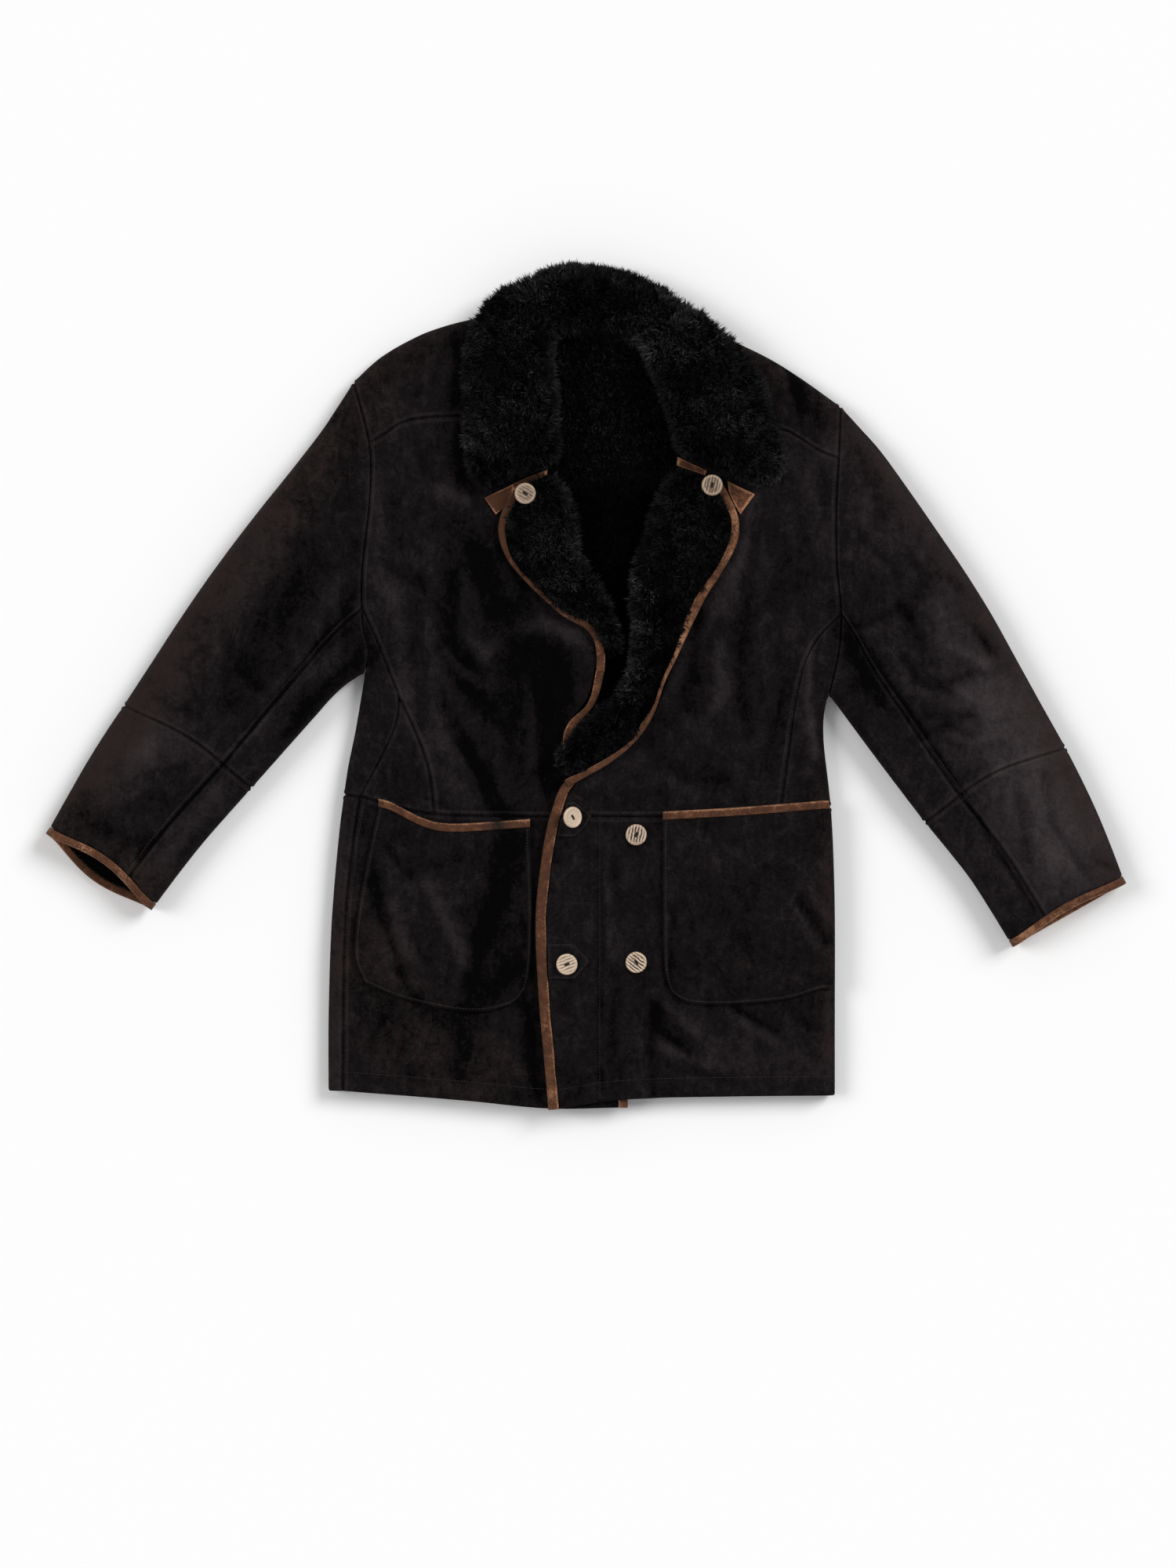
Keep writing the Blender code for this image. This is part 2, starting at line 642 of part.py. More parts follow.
def back_yoke_line(side, armhole):
    """Corners of the back yoke seam, from the armhole to the neck, along the shoulder."""
    count = (YOKE_ROWS + 2) // 3
    start = armhole.under.at(BACK_YOKE_DEPTH)
    end = np.array(side.back_yoke_end, float)
    shoulder = Path(eased(side.shoulder)).spaced(count)
    chord = shoulder[0] + (shoulder[-1] - shoulder[0]) * np.linspace(0, 1, count)[:, None]
    line = start + (end - start) * np.linspace(0, 1, count)[:, None]
    return line + 0.6 * (shoulder - chord)


def back(armholes, lines):
    """Upper and lower back, flat between the side seams."""
    seams = {}
    for side in (RIGHT, LEFT):
        armhole = armholes[side.sign]
        beside = armhole.under.at(np.array(armhole.back_stops()))
        seams[side.sign] = np.vstack([beside, lines[side.sign][2][1:]])
    right, left = seams[-1], seams[1]
    top_line = np.vstack([back_yoke_line(RIGHT, armholes[-1]), NECK_SEAM,
                          back_yoke_line(LEFT, armholes[1])[::-1]])
    columns = len(top_line)
    bottom = np.linspace(right[-1], left[-1], columns)
    back_panel("back_upper", coons(right[::-1], left[::-1], bottom, top_line))
    lower_right, lower_left = lines[-1][3], lines[1][3]
    hem = np.linspace(lower_right[-1], lower_left[-1], columns)
    back_panel("back_lower", coons(lower_right[::-1], lower_left[::-1], hem, bottom))


def right_side(armhole, lines):
    fold_upper, fold_lower, seam_upper, seam_lower = lines
    princess = Path(eased(RIGHT.princess))
    apex = princess.nearest(SIDE_SEAM[0])
    to_apex = 4
    below = BUST_TO_WAIST - to_apex
    princess_points = np.vstack([princess.spaced(to_apex + 1, 0, apex),
                                 princess.spaced(below + 1, apex)[1:]])
    princess_points[-1, 1] = waist_y(princess_points[-1, 0])
    side_seam = Path(eased([princess.at(apex)] + SIDE_SEAM[1:])).spaced(below + 1)
    side_seam[-1, 1] = waist_y(side_seam[-1, 0])
    outer_seam = np.vstack([princess_points[:to_apex + 1], side_seam[1:]])
    wrapped_panel("right_side_upper", side_rows(RIGHT, outer_seam, seam_upper, fold_upper,
                                                right_height, armhole))
    left_line, right_line = side_seam.copy(), princess_points[to_apex:].copy()
    for line in (left_line, right_line):
        line[0] += APEX_TRIM * (line[1] - line[0])
    columns = 4
    bottom = waist_line(left_line[-1, 0], right_line[-1, 0], columns)
    top = np.linspace(left_line[0], right_line[0], columns)
    flat_panel("right_side_front", coons(left_line[::-1], right_line[::-1], bottom, top),
               right_height)
    edge_upper, edge = front_edges(RIGHT)
    front_upper("right_front_upper", RIGHT, armhole, princess_points, edge_upper, right_height)

    skirt_seam = Path(eased([side_seam[-1]] + SKIRT_SEAM[1:])).spaced(BELOW_WAIST + 1)
    wrapped_panel("right_side_lower", side_rows(RIGHT, skirt_seam, seam_lower, fold_lower,
                                                right_height))
    columns = 15
    waist = waist_line(skirt_seam[0, 0], edge[0, 0], columns)
    hem = Path(eased([skirt_seam[-1]] + RIGHT_HEM[1:-1] + [edge[-1]])).spaced(columns)
    flat_panel("right_front_lower", coons(skirt_seam[::-1], edge[::-1], hem, waist), right_height)


def left_side(armhole, lines):
    fold_upper, fold_lower, seam_upper, seam_lower = lines
    princess = Path(eased(LEFT.princess)).spaced(BUST_TO_WAIST + 1)
    princess[-1, 1] = waist_y(princess[-1, 0])
    wrapped_panel("left_side_upper", side_rows(LEFT, princess, seam_upper, fold_upper,
                                               left_height, armhole))
    edge_upper, edge = front_edges(LEFT)
    front_upper("left_front_upper", LEFT, armhole, princess, edge_upper, left_height)

    columns = 17
    waist = waist_line(edge[0, 0], fold_lower[0, 0], columns)
    waist[-1] = fold_lower[0]
    hem = Path(eased([edge[-1]] + LEFT_HEM[1:-1] + [fold_lower[-1]])).spaced(columns)
    plan = coons(edge[::-1], fold_lower[::-1], hem, waist)[::-1, ::-1]
    rows = []
    for number, fold in enumerate(fold_lower):
        top = Path(plan[number])
        under = Path([fold, fold + (-HIDDEN_SEAM_INSET, 0)])
        stops = list(np.linspace(LAID_HEIGHT / 2, top.length, columns - 1)[1:])
        rows.append(fold_row(top, under, stops, [under.length], torso_lift(left_height)))
    wrapped_panel("left_front_lower", rows)
    hidden = fold_lower + (-HIDDEN_SEAM_INSET, 0)
    columns = 3
    back_panel("left_side_lower", coons(seam_lower[::-1], hidden[::-1],
                                        np.linspace(seam_lower[-1], hidden[-1], columns),
                                        np.linspace(seam_lower[0], hidden[0], columns)))


# Sleeves

class Sleeve:
    """The folded tube of one arm, as plan paths and heights at any section."""

    def __init__(self, side, armhole):
        self.side, self.armhole = side, armhole
        self.prefix = "right" if side.sign < 0 else "left"
        self.top_edge = Path(eased(side.sleeve_top))
        self.under_edge = Path(eased(side.sleeve_under))
        self.band = (self.top_edge.nearest(side.band_top), self.under_edge.nearest(side.band_under))
        self.end = (self.top_edge.length - BINDING_WIDTH, self.under_edge.length - BINDING_WIDTH)
        share = np.linspace(0, 1, ARMHOLE_STEPS + 1)[:, None]
        chord = armhole.top.points[0] + (armhole.top.points[-1] - armhole.top.points[0]) * share
        self.curve_top = armhole.top.points - chord
        self.curve_under = armhole.under.points - chord
        self.share = share

    def edges(self, part, along):
        starts, ends = ((0, 0), self.band) if part == "arm" else (self.band, self.end)
        distances = [start + (end - start) * along for start, end in zip(starts, ends)]
        return self.top_edge.at(distances[0]), self.under_edge.at(distances[1])

    def section(self, spec, beyond=0.0):
        """Paths from the top edge, the lift and the seam shares of one section."""
        tip, pit = self.edges(spec.part, spec.along)
        chord = pit - tip
        onward = np.array([chord[1], -chord[0]]) / np.linalg.norm(chord)
        if onward[0] * self.side.sign < 0:
            onward = -onward
        tip, pit = tip + onward * beyond, pit + onward * beyond
        fade = max(0.0, 1 - spec.along / 0.3) if spec.part == "arm" else 0.0
        bow = spec.bow_right if self.side.sign < 0 else spec.bow_left
        arch = np.sin(math.pi * self.share) ** 1.5
        mouth = MOUTH_REACH * spec.along ** 2 if spec.part == "cuff" and self.side.sign < 0 else 0
        line = tip + chord * self.share
        top = Path(line + fade * self.curve_top + onward * bow * arch)
        under = Path(line + fade * self.curve_under + onward * mouth * arch)
        return top, under

    def lift(self, spec, top_length, extra=0.0):
        def height(points, distances):
            share = distances / top_length
            return (spec.height + extra + spec.crown * np.sin(math.pi * share)
                    + fold_rise(points, self.side.sign))
        return height

    def seam_share(self, spec):
        first = self.armhole.bust / self.armhole.top.length
        band, cuff = SLEEVE_SEAM[self.side.sign]
        if spec.part == "arm":
            return first + (band - first) * spec.along
        return band + (cuff - band) * spec.along

    def stops(self, armhole_stops, length, radius, reach):
        """The armhole's stops spread in the same shares over another section's reach."""
        armhole_stops = np.array(armhole_stops)
        shares = (armhole_stops - self.armhole.radius) / (armhole_stops[-1] - self.armhole.radius)
        return list(radius + (reach - radius) * shares)

    def rows(self, spec, upper, beyond=0.0, hide=HIDE, extra=0.0):
        top, under = self.section(spec, beyond)
        hole = self.armhole
        if upper:
            top_given = hole.yoke_stops() + hole.front_stops()[1:]
            under_given = hole.back_yoke_stops() + [stop for stop in hole.back_stops()[1:]
                                                    if stop <= hole.hind + 1e-6]
            reach_top = self.seam_share(spec) * top.length
            reach_under = hole.hind / hole.under.length * under.length
        else:
            top, under = top.reversed(), under.reversed()
            top_given = hole.side_stops()
            behind = [hole.under.length - stop for stop in hole.back_stops()[::-1]
                      if stop >= hole.hind - 1e-6]
            under_given = hole.back_side_stops() + behind[1:]
            reach_top = (1 - self.seam_share(spec)) * top.length
            reach_under = (1 - hole.hind / hole.under.length) * under.length
        lift = self.lift(spec, top.length, extra=extra)
        probe = np.array([LAID_HEIGHT / 2])
        radius = float(lift(top.at(probe), probe)[0]) / 2
        return fold_row(top, under, self.stops(top_given, top.length, radius, reach_top),
                        self.stops(under_given, under.length, radius, reach_under), lift, hide)

    def build(self):
        arm = [spec for spec in SLEEVE_SECTIONS if spec.part == "arm"]
        cuff = [arm[-1]] + [spec for spec in SLEEVE_SECTIONS if spec.part == "cuff"]
        for upper, label in ((True, "upper"), (False, "under")):
            wrapped_panel(f"{self.prefix}_{label}_sleeve", [self.rows(s, upper) for s in arm])
            wrapped_panel(f"{self.prefix}_{label}_cuff", [self.rows(s, upper) for s in cuff])
        self.binding(cuff[-1])

    def binding(self, last):
        """Bound mouth of the cuff, a ring as thick as the wall and a little prouder."""
        outer, inner = [], []
        for beyond, proud in ((2 * SEAM_GAP, 0.0), (BINDING_WIDTH * 0.6, 1.0),
                              (BINDING_WIDTH, -1.5)):
            extra = proud * BINDING_PROUD
            parts = [self.rows(last, upper, beyond, HIDE + extra, extra)
                     for upper in (True, False)]
            outer.append(np.vstack([parts[0][0], parts[1][0][::-1][1:-1]]))
            inner.append(np.vstack([parts[0][1], parts[1][1][::-1][1:-1]]))
        wall(f"{self.prefix}_cuff_binding", np.array(outer).transpose(1, 0, 2),
             np.array(inner).transpose(1, 0, 2), BINDING, closed=True)


# What lies on the coat

def collar():
    """Folded shearling collar: two lobes on the fronts, joined by the roll behind the neck."""
    top, under = [], []
    for section in COLLAR_SECTIONS:
        inner = np.array([section.in_x, section.in_y], float)
        run = np.array([section.out_x, section.out_y], float) - inner
        top_row, under_row = [], []
        for level in COLLAR_PROFILE:
            place = inner + run * level.across
            lobe, behind = 1 - section.back, section.back
            top_row.append((*place, lobe * level.lobe_top + behind * level.back_top))
            raised = lobe * level.lobe_under + behind * level.back_under
            under_row.append((*place, section.floor + raised))
        top.append(top_row)
        under.append(under_row)
    wall("collar", np.array(top), np.array(under), FUR)


def lapel_lines(sections):
    """Folded edge, cut edge and pile height of a lapel at evenly shared places."""
    roll = eased([(s.roll_x, s.roll_y) for s in sections], LAPEL_STEPS)
    edge = eased([(s.edge_x, s.edge_y) for s in sections], LAPEL_STEPS)
    places = np.arange(len(roll)) / LAPEL_STEPS
    return roll, edge, np.interp(places, np.arange(len(sections)), [s.pile for s in sections])


def lapel(name, sections, inward, height):
    """Top of a front turned back on itself, pile up."""
    roll, edge, pile = lapel_lines(sections)
    inside = beside(edge, inward * (BINDING_WIDTH + SEAM_GAP))
    plan = roll[:, None] + (inside - roll)[:, None] * np.array(LAPEL_ACROSS)[None, :, None]
    under = height(plan) + LAY_GAP
    top = under + pile[:, None] * np.array(LAPEL_CROWN)[None]
    wall(name, np.dstack([plan, top]), np.dstack([plan, under]), FUR)


def edge_binding(name, line, inward, height, low, high):
    """Leather strip inside an edge; inward is 1 where the hide lies to the left of the way along."""
    shares = np.array([0.0, 0.3, 0.7, 1.0])
    plan = np.stack([beside(line, inward * BINDING_WIDTH * share) for share in shares], 1)
    ground = height(plan[:, -1:]) + np.zeros(plan.shape[:2])
    thick = high - low
    top = ground + high - thick * np.array([0.3, 0.02, 0.0, 0.06])
    under = ground + low + thick * np.array([0.3, 0.0, 0.0, 0.0])
    wall(name, np.dstack([plan, top]), np.dstack([plan, under]), BINDING)


def bindings():
    wrapped = dict(low=-HIDE - BINDING_PROUD, high=BINDING_PROUD)
    laid = dict(low=2 * LAY_GAP, high=2 * LAY_GAP + LAPEL_EDGE)
    for side, height, sections, tail in ((RIGHT, right_height, RIGHT_LAPEL, [RIGHT_LAPEL_TAIL]),
                                         (LEFT, left_height, LEFT_LAPEL, [])):
        word = "right" if side.sign < 0 else "left"
        upper, lower = front_edges(side)
        hide_edge = np.vstack([upper[upper[:, 1] < side.bound[0][1]], lower[1:]])
        bound = beside(hide_edge, -side.sign * (BINDING_WIDTH + SEAM_GAP / 2))
        edge_binding(f"{word}_front_binding", bound, side.sign, height, **wrapped)
        cut_edge = np.vstack([lapel_lines(sections)[1]] + [tail] * bool(tail))
        edge_binding(f"{word}_lapel_binding", cut_edge, -side.sign, height, **laid)


def pocket(name, shape, height, wraps):
    """Patch pocket with its bound top edge; the left one runs on round the folded side."""
    rows, columns = 12, 11
    plan = coons(Path(eased(shape["outer"])).spaced(rows)[::-1],
                 Path(eased(shape["inner"])).spaced(rows)[::-1],
                 Path(eased(shape["bottom"])).spaced(columns),
                 Path(eased(shape["top"])).spaced(columns))[::-1]
    top_line = plan[0].copy()
    strip = np.stack([top_line + (0, SEAM_GAP), top_line + (0, BINDING_WIDTH * 0.5),
                      top_line + (0, BINDING_WIDTH)])
    for label, grid, thick, finish in (("pocket", plan, POCKET_HIDE, SUEDE),
                                       ("pocket_binding", strip, POCKET_HIDE + 1.5, BINDING)):
        under = np.dstack([grid, height(grid) + LAY_GAP])
        over = np.dstack([grid, height(grid) + LAY_GAP + thick])
        if wraps:
            under = np.concatenate([pocket_turn(grid, height, LAY_GAP), under], 1)
            over = np.concatenate([pocket_turn(grid, height, LAY_GAP + thick), over], 1)
        wall(f"{name}_{label}", over, under, finish)


def pocket_turn(grid, height, raised):
    """Columns that follow the side's rounded fold past the flat part of the front."""
    fold = Path(eased(LEFT.side_fold))
    columns = []
    for angle in POCKET_ARC[::-1]:
        sine, cosine = math.sin(math.radians(angle)), math.cos(math.radians(angle))
        column = []
        for point in grid[:, 0]:
            edge_x = np.interp(-point[1], -fold.points[:, 1], fold.points[:, 0])
            radius = LAID_HEIGHT / 2
            column.append((edge_x - radius + (radius + raised) * cosine, point[1],
                           radius + (radius + raised) * sine))
        columns.append(column)
    return np.array(columns).transpose(1, 0, 2)


def leather_bit(name, outline, height, finish=BINDING):
    """Flat bit of leather with the given corners."""
    corners, thick = np.array(outline, float), LEATHER_BIT
    under = height(corners) + LAY_GAP
    verts = np.vstack([np.column_stack([corners, under + thick]), np.column_stack([corners, under])])
    count = len(corners)
    faces = [tuple(range(count)), tuple(range(2 * count - 1, count - 1, -1))]
    faces += [(i, (i + 1) % count, count + (i + 1) % count, count + i) for i in range(count)]
    add_solid(name, verts, faces, finish)


def button(spec):
    """Turned disc with a raised rim and a dished middle; two thread holes go through it."""
    radius, thick = BUTTON_DIAMETER / 2 * MM, BUTTON_THICKNESS * MM
    profile = [(0.0, 0.78), (0.62, 0.78), (0.78, 1.0), (0.98, 0.75), (0.88, 0.0), (0.0, 0.0)]
    mesh = bpy.data.meshes.new(spec.name)
    mesh.from_pydata([(radius * r, 0, thick * z) for r, z in profile],
                     [(i, i + 1) for i in range(len(profile) - 1)], [])
    disc = bpy.data.objects.new(spec.name, mesh)
    bpy.data.collections[COLLECTION].objects.link(disc)
    screw = disc.modifiers.new("Turn", "SCREW")
    screw.steps = screw.render_steps = 14
    screw.use_merge_vertices = True
    screw.merge_threshold = 0.00005
    hole_size = 1.1 * MM
    for number, offset in enumerate((-2.6, 2.6)):
        bpy.ops.mesh.primitive_cylinder_add(vertices=6, radius=hole_size, depth=0.02)
        hole = bpy.context.object
        hole.name = f"{spec.name}_hole_{number}"
        for owner in hole.users_collection:
            owner.objects.unlink(hole)
        bpy.data.collections["cutters"].objects.link(hole)
        hole.hide_render = True
        hole.display_type = "WIRE"
        hole.parent = disc
        hole.location = (0, offset * MM, 0)
        cut = disc.modifiers.new("Thread hole", "BOOLEAN")
        cut.operation = "DIFFERENCE"
        cut.object = hole
    disc.location = (spec.x * MM, spec.y * MM, spec.base * MM)
    disc.rotation_euler = (0, math.radians(spec.tilt), 0)
    mesh.materials.append(material(HORN))


def main():
    for thing in list(bpy.data.objects):
        bpy.data.objects.remove(thing)
    for name in (COLLECTION, "cutters"):
        made = bpy.data.collections.new(name)
        bpy.context.scene.collection.children.link(made)
    armholes = {side.sign: Armhole(side) for side in (RIGHT, LEFT)}
    lines = {side.sign: side_lines(side, armholes[side.sign]) for side in (RIGHT, LEFT)}
    back(armholes, lines)
    right_side(armholes[-1], lines[-1])
    left_side(armholes[1], lines[1])
    yoke("right_yoke", RIGHT, armholes[-1], right_height)
    yoke("left_yoke", LEFT, armholes[1], left_height)
    Sleeve(RIGHT, armholes[-1]).build()
    Sleeve(LEFT, armholes[1]).build()
    collar()
    lapel("right_lapel", RIGHT_LAPEL, 1, right_height)
    lapel("left_lapel", LEFT_LAPEL, -1, left_height)
    bindings()
    pocket("right", POCKETS["right"], right_height, wraps=False)
    pocket("left", POCKETS["left"], left_height, wraps=True)
    for side, height in (("right", right_height), ("left", left_height)):
        leather_bit(f"{side}_gorge_strip", GORGE_STRIPS[side], height)
        leather_bit(f"{side}_collar_tab", COLLAR_TABS[side], height)
    for place, outline in BUTTONHOLE_PATCHES.items():
        leather_bit(f"{place}_buttonhole_patch", outline, left_height, finish=SUEDE)
    for spec in BUTTONS:
        button(spec)


main()
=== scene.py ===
# Shearling coat laid flat: hides, fur, bindings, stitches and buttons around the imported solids.
# Sizes in the tables are millimetres, in the plan of the laid-out coat: +x wearer's left, +y collar.
import math

import bmesh
import bpy
import numpy as np
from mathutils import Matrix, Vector


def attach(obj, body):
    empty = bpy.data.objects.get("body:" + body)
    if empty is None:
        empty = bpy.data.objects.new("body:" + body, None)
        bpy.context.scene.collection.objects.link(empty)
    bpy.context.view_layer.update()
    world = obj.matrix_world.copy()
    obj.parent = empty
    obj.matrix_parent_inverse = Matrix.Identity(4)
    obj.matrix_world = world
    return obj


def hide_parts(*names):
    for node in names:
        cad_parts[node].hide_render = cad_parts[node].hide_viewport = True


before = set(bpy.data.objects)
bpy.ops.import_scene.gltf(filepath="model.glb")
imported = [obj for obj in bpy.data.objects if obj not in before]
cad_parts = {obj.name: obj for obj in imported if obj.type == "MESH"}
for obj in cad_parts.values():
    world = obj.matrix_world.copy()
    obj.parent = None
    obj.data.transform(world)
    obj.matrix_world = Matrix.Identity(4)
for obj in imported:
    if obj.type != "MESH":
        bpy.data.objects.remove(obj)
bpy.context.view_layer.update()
print("frame loaded:", len(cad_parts), "nodes")

mm = 0.001
made = {}          # finished pieces by name
panels = {}        # outer grid of each hide panel, for the lines of stitches on it

coat = {
    "hide": 8.0,            # skin and the pile pressed inside
    "seamGap": 0.3,
    "layGap": 0.6,
    "laidHeight": 24.0,
    "overlapRise": 10.0,
    "gridStep": 5.2,        # between two rows or columns of a hide
    "seamDistances": (0.0, 0.7, 1.5, 2.6, 3.8, 5.0, 6.4, 8.6),   # finer columns beside a seam
    "arcAngles": (90, 75, 60, 45, 30, 15),
    "foldLead": 16.0,
    "longRow": 30.0,
    "swell": 0.45,
    "onTop": 23.0,          # height at which a wrapped body panel has reached the top layer
    "onTopFrom": 0.6, "onTopBlend": 0.35,       # share of that height where its creases come on
}

seam = {                    # how a hide's surface runs down into its seam
    "dip": 1.3, "dipWidth": 1.4,
    "roll": 0.7, "rollAt": 3.2, "rollWidth": 1.6,
    "stitchAt": 5.6, "stitchDip": 0.6, "stitchWidth": 1.1,
    "cutDip": 0.9, "cutWidth": 1.0,                 # a turned or cut edge
    "rubAt": 3.4, "rubWidth": 1.9, "grooveShade": 0.8, "grooveShadeWidth": 1.4,      # rubbed nap on the ridge beside the seam, painted shade in the seam's groove
    "floorFrom": 7, "floorBlend": 6, "floorShare": 0.85,    # flatter towards the floor
}

# -1 is the wearer's right half, 1 the left; each crease is a soft trough or ridge along a line
creases = {
    -1: [      # line, width, rise
        ([(-150, 118), (-154, 66), (-143, 34), (-128, 22)], 12, -6.0),
        ([(-135, -2), (-120, -25), (-93, -45)], 15, -3.5),
        ([(-138, 117), (-133, 66), (-118, 30)], 11, 3.0),
        ([(-173, 151), (-170, 66), (-171, 6), (-161, -62)], 12, 2.8),
        ([(-139, -62), (-126, -84), (-111, -108), (-103, -132)], 11, -5.0),
        ([(-111, 34), (-88, 60), (-50, 66), (-12, 52)], 17, 5.0),
        ([(-52, 38), (-32, 14), (-38, -19), (-46, -62), (-48, -104)], 13, -7.5),
        ([(-68, 10), (-62, -45), (-60, -96)], 12, 1.2), ([(-131, 159), (-118, 112), (-109, 80)], 11, -3.2),
        ([(-108, 151), (-88, 100)], 14, 2.6), ([(-80, 140), (-68, 96)], 11, -2.6),
        ([(-173, 211), (-122, 203)], 15, 2.6), ([(-229, 136), (-178, 107)], 12, -2.2),
        ([(-216, 196), (-205, 150)], 13, -1.8), ([(-196, 40), (-186, -40)], 13, -2.2),
        ([(-90, -147), (-102, -214), (-122, -270), (-132, -317)], 15, -5.0),
        ([(-172, -220), (-142, -283), (-136, -300)], 13, 3.6),
        ([(-236, -214), (-203, -312), (-184, -343)], 13, -4.2), ([(-216, -238), (-188, -300)], 12, 2.4),
        ([(-118, -338), (-92, -308)], 8, -3.2), ([(-72, -250), (-69, -277), (-84, -310)], 9, -3.0),
        ([(-222, -170), (-196, -204)], 9, -2.4), ([(-192, -206), (-142, -186)], 9, -2.6),
        ([(-146, -423), (-135, -390), (-140, -366)], 15, -3.0), ([(-66, -352), (-60, -440)], 13, -3.2),
        ([(-228, -352), (-196, -425)], 20, -2.2), ([(-292, 132), (-339, 57), (-386, -19)], 26, -3.4),
        ([(-281, 62), (-292, 24)], 9, -2.2), ([(-318, 16), (-339, -24)], 9, -2.4),
        ([(-306, 42), (-322, 6)], 9, 1.8), ([(-252, 74), (-240, 46)], 10, -2.6),
        ([(-352, 150), (-400, 60)], 18, 2.2), ([(-430, -60), (-462, -120)], 20, -2.4),
        ([(-352, -6), (-380, 20), (-398, 52)], 10, -1.6), ([(-420, 40), (-446, 20)], 9, -1.4),
        ([(-430, -30), (-470, -14)], 9, -1.4), ([(-398, 100), (-412, 72)], 10, -1.4),
        ([(-500, -60), (-520, -90)], 9, -1.6), ([(-190, 262), (-176, 230), (-180, 204)], 10, -1.6),
        ([(-214, 100), (-204, 60)], 10, 1.8), ([(-120, -2), (-96, -20)], 9, 1.8),
        ([(-176, -120), (-150, -132)], 8, -1.6), ([(-196, -262), (-176, -300)], 9, -1.6),
        ([(-110, -206), (-90, -236)], 9, -1.8),
    ],
    1: [
        ([(184, 193), (171, 125), (167, 32), (171, -49)], 10, -2.4), ([(190, 130), (188, 30)], 16, 2.2),
        ([(118, 66), (110, -24)], 17, -3.4), ([(141, 44), (136, -22)], 12, 2.6),
        ([(130, 90), (172, 150)], 13, 2.4), ([(176, 205), (186, 176)], 12, 2.2),
        ([(215, 360), (222, 322), (230, 298)], 10, -3.6), ([(204, 340), (210, 300)], 11, 2.6),
        ([(246, 318), (252, 282)], 11, -2.2), ([(214, 250), (236, 212)], 15, 2.2),
        ([(206, -20), (190, -90)], 16, -2.2), ([(257, 55), (251, 22)], 8, 2.4),
        ([(247, 40), (240, -30)], 9, -2.2), ([(256, -30), (252, -70)], 10, -2.0),
        ([(60, -60), (130, -112)], 15, -2.0), ([(228, -232), (257, -276)], 8, -3.4),
        ([(240, -222), (262, -256)], 9, 2.0), ([(92, -246), (88, -322)], 7, -2.6),
        ([(72, -349), (77, -373), (108, -397)], 10, -5.0), ([(84, -346), (118, -376)], 11, 3.0),
        ([(78, -390), (128, -411)], 10, 2.4), ([(159, -349), (200, -373)], 9, -3.4),
        ([(166, -366), (200, -386)], 10, 2.2), ([(65, -366), (70, -440)], 11, -3.6),
        ([(25, -310), (23, -440)], 12, -2.8), ([(128, -332), (132, -348)], 6, -2.0),
        ([(20, -196), (32, -232)], 13, -2.0), ([(288, 64), (310, 71), (336, 84)], 8, -3.0),
        ([(342, 30), (355, 4), (374, -2), (411, 15)], 10, -3.6), ([(366, -33), (413, -30)], 9, -3.4),
        ([(372, 16), (406, -8)], 9, 2.4), ([(429, 50), (434, 38)], 10, -3.6),
        ([(360, 108), (341, 80), (356, 48)], 15, -3.2), ([(376, 84), (384, 62)], 17, 3.0),
        ([(272, 66), (284, 42)], 11, -2.6), ([(300, 232), (318, 176)], 18, -2.6),
        ([(452, -64), (470, -140)], 16, -2.4), ([(494, -96), (504, -150), (538, -200)], 11, -2.0),
        ([(468, -124), (478, -190)], 12, -1.6), ([(548, -186), (572, -198)], 8, -1.8),
        ([(298, 160), (330, 130), (336, 90)], 10, -1.8), ([(344, 140), (372, 120)], 9, -1.6),
        ([(384, 120), (412, 96)], 9, -1.6), ([(352, -60), (384, -40), (412, -52)], 8, -2.0),
        ([(424, -70), (468, -50)], 8, -1.8), ([(392, 42), (430, 22)], 8, 1.6),
        ([(196, 300), (206, 268)], 8, -1.8), ([(100, 100), (112, 60)], 9, 1.6),
        ([(196, 60), (206, 20)], 10, -1.6), ([(70, -84), (108, -104), (150, -100)], 9, -1.8),
        ([(178, -186), (206, -204)], 9, -1.6), ([(140, -250), (170, -282)], 12, -1.6),
        ([(214, -350), (244, -372)], 9, -1.8), ([(120, -420), (160, -430)], 8, -1.4),
    ],
}
